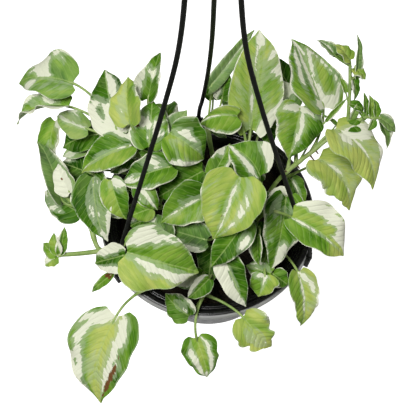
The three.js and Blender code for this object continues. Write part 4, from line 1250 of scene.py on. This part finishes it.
def stemRoute(line, starts, taper):
    shape = stemShape
    route = []
    for i, place in enumerate(line):
        share = i / (len(line) - 1)
        swell = sum(hump(share, start, shape["nodeLength"]) for start in starts)
        radius = shape["radius"] * (1 - taper * share) * (1 + shape["node"] * min(swell, 1))
        if i in (0, len(line) - 1):
            radius *= 0.7
        route.append((place, radius * mm))
    return route


def rootNub(line, start, chance):  # a short brown root at a node
    place = along(line, start)
    ahead = (along(line, min(start + 0.02, 1)) - along(line, start - 0.02)).normalized()
    out = Vector((chance.uniform(-1, 1), chance.uniform(-1, 1), -0.6))
    out = (out - ahead * out.dot(ahead)).normalized()
    longer = chance.uniform(*stemShape["nubLength"])
    thick, thin = stemShape["nubRadii"]
    route = []
    for part in (0, 0.35, 0.7, 1):
        route.append((place + out * (1 + longer * part) * mm, (thick + (thin - thick) * part) * mm))
    return route


firstSprig = 400  # sprigs are numbered apart from the other leaves


def joinBlades(name, blades):  # blades are sheets until here, where they get their thickness
    leaves = join(name, blades)
    weld(leaves, 0.01)
    for material in (leafFace, leafUnderside):
        leaves.data.materials.append(material)
    solid = leaves.modifiers.new("thickness", "SOLIDIFY")
    solid.thickness = bladeShape["thickness"] * mm
    solid.offset = 0
    solid.material_offset = 1
    solid.material_offset_rim = 0
    applyAll(leaves)
    smooth(leaves, 50)
    return leaves


def makeVine(name, vine, first, blanks):
    lines = [stemLine(places, i == 0) for i, places in enumerate(vine["stems"])]
    looks = vine["leaves"] + vine["sprigs"]
    numbers = [first + i for i in range(len(vine["leaves"]))]
    numbers += [firstSprig + i for i in range(len(vine["sprigs"]))]
    blades, greens, barks = [], [], []
    for i, (number, look) in enumerate(zip(numbers, looks)):
        blank = blanks["small" if look["width"] < bladeShape["smallWidth"] else "large"]
        blades.append(makeBlade(f"{name}Blade{i}", look, blank, number))
        greens.append(petioleRoute(look, lines[look["on"]]))
    chance = random.Random(first)
    for i, line in enumerate(lines):
        starts = [look["start"] for look in looks if look["on"] == i]
        greens.append(stemRoute(line, starts, vine["taper"]))
        for start in starts:
            if 0.25 < start < 0.93 and chance.random() < stemShape["rootShare"]:
                barks.append(rootNub(line, start, chance))
    parts = [joinBlades(name + "Leaves", blades)]
    for label, routes, bark in (("Stems", greens, 0.0), ("Roots", barks, 1.0)):
        if routes:
            strand = tube(name + label, routes)
            setField(strand.data, "barkField", np.full(len(strand.data.vertices), bark))
            strand.data.materials.append(petioleGreen)
            parts.append(strand)
    foliage = join(name.replace("_", "") + "Foliage", parts)
    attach(foliage, "root")
    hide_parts(name)


def makePlant():
    shape = bladeShape
    blanks = {
        "large": makeBlank("bladeBlank", shape["columns"], shape["rows"]),
        "small": makeBlank("smallBladeBlank", shape["smallColumns"], shape["smallRows"]),
    }
    count = 0
    for name, vine in vines.items():
        makeVine(name, vine, count, blanks)
        count += len(vine["leaves"])
    for blank in blanks.values():
        remove(blank)
    print("plant made,", count, "leaves")


makePlant()

# Pot. Heights are from the top of the rim, and a profile is a row of (radius, height).
potShape = {
    "baseRadius": 62.5,
    "mouthRadius": 75.6,
    "mouthDepth": 8.6,
    "wall": 2,
    "height": 100,
    "drainHoles": 6,
    "drainRadius": 5,
    "drainDepth": 12,
    "drainRing": 44,
    "outsideHeights": (-92, -80, -66, -52, -38, -26, -16, -12),
    "insideHeights": (-20, -40, -60, -80, -94),
    "foot": [(8, -99.2), (49, -99.2), (50.6, -99.6), (51.6, -100), (59.4, -100), (61.2, -99.4), (62.2, -98.2),
             (62.7, -96.4)],
    "bead": [(78.4, -10.4), (82, -7.4), (85.4, -4.9), (86.6, -4.7), (87.2, -5.3), (87.4, -7.4), (87.8, -8),
             (89.2, -8), (89.8, -7.6), (90, -6.9), (90, -3), (89.7, -1.7), (89, -0.8), (87.9, -0.2),
             (86.6, 0)],
    "lip": [(85.2, -0.25), (84.4, -0.9), (83.8, -1.9), (83.2, -2.5), (82.1, -3.25), (81.8, -3.15),
            (81.4, -3.3), (81.1, -3.95), (80, -4.7), (79.7, -4.6), (79.3, -4.75), (79, -5.4), (78.4, -5.8),
            (77, -6.8), (76.1, -7.7), (75.7, -8.6), (75.6, -9.6)],
    "floor": -97,
}


def wallRadius(height):
    shape = potShape
    widening = shape["mouthRadius"] + shape["wall"] - shape["baseRadius"]
    slope = widening / (shape["height"] - shape["mouthDepth"])
    return shape["baseRadius"] + slope * (height + shape["height"]) - shape["wall"]


def makePot():
    shape = potShape
    floor = shape["floor"]
    outside = [(wallRadius(height) + shape["wall"], height) for height in shape["outsideHeights"]]
    inside = [(wallRadius(height), height) for height in shape["insideHeights"]]
    corner = [(wallRadius(floor) - 1.5, floor + 0.4), (wallRadius(floor) - 4, floor), (8, floor)]
    profile = [*shape["foot"], *outside, *shape["bead"], *shape["lip"], *inside, *corner]
    pot = turned("hangingPot", profile, rimCentre)
    for i in range(shape["drainHoles"]):
        turn = 2 * math.pi * i / shape["drainHoles"]
        place = rimCentre + Vector((math.cos(turn), math.sin(turn), 0)) * shape["drainRing"] * mm
        drill(pot, upFrom(place, floor - 1), shape["drainRadius"], shape["drainDepth"])
    weld(pot, 0.003)  # clears the slivers that the cuts leave
    smooth(pot, 32)
    dress(pot, ["pot"], potPlastic)


makePot()
print("pot made")

# Potting mix
soilShape = {
    "bottom": -96.7,
    "top": -17,
    "crown": 2.5,
    "gap": 0.3,
    "roughness": 1.1,
    "lumpScale": 130,
    "gritScale": 420,
    "grit": 0.6,
    "chips": 170,
    "chipSizes": [(5, 3, 1.4), (3.4, 2.6, 1.8), (6.5, 1.8, 1.2)],
    "chipRoughness": 0.45,
    "chipReach": 71,
    "chipTilt": 0.5,
    "chipScale": (0.6, 1.15),
    "fibres": 60,
    "fibreRadius": 0.32,
    "fibreReach": 66,
    "fibreLength": (5, 12),
    "fibreBend": (-3, 3),
    "fibreRise": 0.9,
}


def soilHeight(radius):
    share = min(radius / 60, 1)
    return soilShape["top"] + soilShape["crown"] * (1 - 0.4 * share ** 2) * min(1, (74 - radius) / 14)


def soilBump(place):
    shape = soilShape
    lumps = noise.noise(place * shape["lumpScale"] + Vector((3, 7, 1)))
    return (lumps + shape["grit"] * noise.noise(place * shape["gritScale"])) * shape["roughness"]


def makeBed():
    bottom, top, gap = soilShape["bottom"], soilShape["top"], soilShape["gap"]
    outer = wallRadius(top) - gap
    profile = [(2, bottom), (30, bottom), (wallRadius(bottom) - 1, bottom), (wallRadius(-60) - gap, -60),
               (wallRadius(-40) - gap, -40), (outer, top - 0.6), (outer - 0.6, top - 0.2)]
    profile += [(radius, soilHeight(radius)) for radius in np.arange(72, 1, -2.0)]
    bed = turned("soilBed", profile, rimCentre, 120)
    for vertex in bed.data.vertices:
        place = vertex.co - rimCentre
        radius = math.hypot(place.x, place.y) / mm
        if place.z > (top - 0.4) * mm and radius < 72.5:
            vertex.co.z += soilBump(place) * mm
    smooth(bed, 60)
    bed.data.materials.append(pottingMix)
    return bed


def onSoil(chance, reach):  # a chance place on the mix, in millimetres
    radius, turn = reach * math.sqrt(chance.random()), chance.uniform(0, 2 * math.pi)
    return Vector((radius * math.cos(turn), radius * math.sin(turn), soilHeight(radius)))


def makeChip(size, seed):
    deselect()
    bpy.ops.mesh.primitive_cube_add(size=1, location=(0, 0, 0))
    chip = bpy.context.object
    chip.scale = Vector(size) * mm
    settle(chip)
    bpy.ops.object.mode_set(mode="EDIT")
    bpy.ops.mesh.subdivide(number_cuts=1)
    bpy.ops.transform.vertex_random(offset=soilShape["chipRoughness"] * mm, uniform=1, seed=seed)
    bpy.ops.object.mode_set(mode="OBJECT")
    return chip


def makeCrumbs(chance):
    shape, tilt = soilShape, soilShape["chipTilt"]
    chips = [makeChip(size, i + 4) for i, size in enumerate(shape["chipSizes"])]
    bits = []
    for i in range(shape["chips"]):
        place = onSoil(chance, shape["chipReach"]) * mm
        bit = copyOf(chance.choice(chips), f"bit{i}")
        leaning = (chance.uniform(-tilt, tilt), chance.uniform(-tilt, tilt))
        bit.rotation_euler = (*leaning, chance.uniform(0, 6.3))
        bit.scale = [chance.uniform(*shape["chipScale"])] * 3
        bit.location = upFrom(rimCentre + place, soilBump(place) + 0.3)
        bits.append(bit)
    for chip in chips:
        remove(chip)
    crumbs = join("crumbs", bits)
    crumbs.data.materials.append(barkChip)
    smooth(crumbs, 20)
    return crumbs


def fibreRoute(chance):
    shape = soilShape
    place = onSoil(chance, shape["fibreReach"]) + Vector((0, 0, 1))
    way = Matrix.Rotation(chance.uniform(0, 6.3), 3, "Z") @ Vector((1, 0, 0))
    across = Vector((-way.y, way.x, 0))
    long, bend = chance.uniform(*shape["fibreLength"]), chance.uniform(*shape["fibreBend"])
    route = []
    for s in np.linspace(-0.5, 0.5, 7):
        rise = Vector((0, 0, shape["fibreRise"] * math.cos(s * math.pi)))
        spot = place + way * s * long + across * bend * s * s * 2 + rise
        route.append((rimCentre + spot * mm, shape["fibreRadius"] * mm * (1 - 0.6 * abs(s))))
    return route


def makeSoil():
    chance = random.Random(21)
    bed = makeBed()
    crumbs = makeCrumbs(chance)
    roots = tube("fibres", [fibreRoute(chance) for _ in range(soilShape["fibres"])], 1)
    roots.data.materials.append(barkChip)
    soil = join("soilSurface", [bed, crumbs, roots])
    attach(soil, "root")
    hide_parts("soil")


makeSoil()
print("soil made")

# Hanger. A leg's turns about the pot's axis, in degrees, are at the rim and at the hub. It stands upright in
# its clip, leans straight inwards, and bends gently to run up into the hub.
hangerShape = {
    "hubFoot": 414,
    "hubOffset": (6.3, 1.2),
    "wire": 1.75,
    "topRadius": 15.5,
    "socket": 6,
    "legs": {"Back": (94.3, 80), "Left": (214.3, 212), "Right": (-25.7, -32)},
    "foot": [(92, 0), (91, 20)],
    "leanSlope": 0.285,
    "leanHeights": range(45, 376, 55),
    "bendHeight": 280,
    "bendSoftness": 14,
    "collar": [(0, 2.6), (4.2, 2.5), (5.2, 2.2), (5.8, 1.7)],
    "clipWidth": 9,
    "clipBevel": 0.45,
    "clip": [(90.3, 3), (90.3, -8.3), (87.7, -8.3), (87.7, -10), (92.3, -11), (93.3, -10), (93.3, 2),
             (92.3, 3)],
}


def legRadius(height):  # distance from the pot's axis where the leg leans and where it bends
    shape = hangerShape
    past = shape["leanSlope"] * (shape["bendHeight"] - height)
    return shape["topRadius"] + (past + math.hypot(past, shape["bendSoftness"])) / 2


def legPoint(radius, height, rimTurn, hubTurn):
    shape = hangerShape
    share = min(max(height / shape["hubFoot"], 0), 1)
    turn = math.radians(rimTurn + share * (hubTurn - rimTurn))
    offset = Vector((*shape["hubOffset"], 0)) * share
    return rimCentre + (Vector((radius * math.cos(turn), radius * math.sin(turn), height)) + offset) * mm


def makeClip(turn):
    shape = hangerShape
    clip = newCurve()
    curve = clip.data
    curve.dimensions = "2D"
    curve.fill_mode = "BOTH"
    outline = addRoute(curve, [(radius * mm, height * mm, 0) for radius, height in shape["clip"]])
    outline.use_cyclic_u = True
    curve.extrude = (shape["clipWidth"] / 2 - shape["clipBevel"]) * mm
    curve.bevel_depth = shape["clipBevel"] * mm
    curve.offset = -shape["clipBevel"] * mm
    curve.bevel_resolution = 3
    clip = asMesh(clip, "clip")
    clip.location = rimCentre
    clip.rotation_euler = (math.pi / 2, 0, math.radians(turn))
    settle(clip)
    weld(clip, 0.02)
    faceOutwards(clip)
    return clip


def makeLeg(place, rimTurn, hubTurn):
    shape = hangerShape
    top, foot = shape["topRadius"], shape["hubFoot"]
    route = [*shape["foot"], *((legRadius(height), height) for height in shape["leanHeights"])]
    route += [(top, foot - 6), (top, foot + shape["socket"] - 0.3)]
    points = [legPoint(radius, height, rimTurn, hubTurn) for radius, height in route]
    wire = shape["wire"] * mm
    strand = tube("strand", [[(point, wire) for point in throughPoints(points, 110)]], 6)
    rise = (points[1] - points[0]) / shape["foot"][1][1]
    collar = tube("collar", [[(points[0] + rise * part, radius * mm) for part, radius in shape["collar"]]], 6)
    leg = join("hangerStrand" + place, [strand, makeClip(rimTurn), collar])
    smooth(leg, 40)
    dress(leg, ["hanger_leg_" + place.lower()], hangerPlastic)


hookShape = {
    "wire": 2.4,
    "bow": 13.4,
    "crown": 458.8,
    "hubTop": 426,
    "tail": 446,
    "socketRadius": 2.15,
    "socketDepth": 6.2,
    "hub": [(2, 414.6), (12.6, 414.6), (13, 414), (18.6, 414), (19.6, 414.4), (20, 415.2), (19.4, 419.4),
            (19, 420.6), (18.2, 421.4), (9, 424.4), (5.6, 425.3), (4, 426), (2, 426)],
}


def makeHook():
    shape = hookShape
    centre = rimCentre + Vector((*hangerShape["hubOffset"], 0)) * mm
    bow, crown, hubTop = shape["bow"], shape["crown"], shape["hubTop"]
    points = [(0, hubTop - 6), (0, hubTop + 4), (0.55 * bow, crown - 1.6 * bow)]
    for i in range(9):
        turn = (-0.12 + 1.12 * i / 8) * math.pi
        points.append((bow * math.cos(turn), crown + bow * math.sin(turn)))
    points.append((-bow - 0.8, shape["tail"]))
    line = throughPoints([centre + Vector((x, 0, z)) * mm for x, z in points], 90)
    route = []
    for i, point in enumerate(line):  # the wire's end is round
        left = min((len(line) - 1 - i) / 2.2, 1)
        route.append((point, shape["wire"] * mm * min(1, math.sqrt(max(0.05, 1 - (1 - left) ** 2)))))
    hook = tube("hookWire", [route], 8)
    hub = turned("hub", shape["hub"], centre, 72)
    for rimTurn, hubTurn in hangerShape["legs"].values():
        top = legPoint(hangerShape["topRadius"], hubTop - 9, rimTurn, hubTurn)
        drill(hub, top, shape["socketRadius"], shape["socketDepth"])
    smooth(hub, 32)
    whole = join("hookAndHub", [hub, hook])
    dress(whole, ["hanger_hook"], hangerPlastic)


for legName, (rimTurn, hubTurn) in hangerShape["legs"].items():
    makeLeg(legName, rimTurn, hubTurn)
makeHook()
print("hanger made")

# Floor and light. Lamps' places are in metres from the middle of the rim.
studio = {
    "floorDrop": 0.62,
    "floorSize": 14,
    "floorRoughness": 0.8,
    "floorColours": [(0.3, (0.9, 0.9, 0.89)), (0.7, (0.93, 0.93, 0.92))],
    "floorGlow": (0.06, 0.06, 0.06),
    "backdropGlow": (0.9, 0.9, 0.9),
    "worldLight": 0.055,
    "lamps": {
        "key": {"place": (-0.6, -0.5, 1.9), "size": 0.75, "power": 39},
        "fill": {"place": (1.4, -0.7, 0.9), "size": 1.4, "power": 6},
        "back": {"place": (0.3, 1.6, 1.0), "size": 1.4, "power": 5},
    },
}


def makeFloor():
    deselect()
    place = (0, 0, rimCentre.z - studio["floorDrop"])
    bpy.ops.mesh.primitive_plane_add(size=studio["floorSize"], location=place)
    floor = bpy.context.object
    floor.name = "studioFloor"
    settle(floor)
    material, tree, shader = newMaterial("paleFloor")
    colour = colourRamp(noiseNode(objectPlace(tree), 3, 2), studio["floorColours"])
    seenByCamera = newNode(tree, "LightPath").outputs["Is Camera Ray"]
    glow = mixColour(seenByCamera, studio["floorGlow"], studio["backdropGlow"])
    feed(shader, {
        "Base Color": colour,
        "Roughness": studio["floorRoughness"],
        "Emission Color": glow,
        "Emission Strength": 1,
    })
    floor.data.materials.append(material)


def makeLights():
    for name, light in studio["lamps"].items():
        at = rimCentre + Vector(light["place"])
        bpy.ops.object.light_add(type="AREA", location=at)
        lamp = bpy.context.object
        lamp.name = name + "Light"
        lamp.data.size = light["size"]
        lamp.data.energy = light["power"]
        lamp.rotation_euler = (rimCentre - at).to_track_quat("-Z", "Y").to_euler()


def makeWorld():
    world = bpy.data.worlds.new("studioWorld")
    world.use_nodes = True
    tree = world.node_tree
    seenByCamera = newNode(tree, "LightPath").outputs["Is Camera Ray"]
    strength = ramped(seenByCamera, 0, 1, studio["worldLight"], 1.0, "LINEAR")
    feed(tree.nodes["Background"], {"Color": (1, 1, 1), "Strength": strength})
    scene = bpy.context.scene
    scene.world = world
    scene.view_settings.view_transform = "Standard"
    scene.view_settings.look = "None"


makeFloor()
makeLights()
makeWorld()
makeCamera()
deselect()
print("studio made")
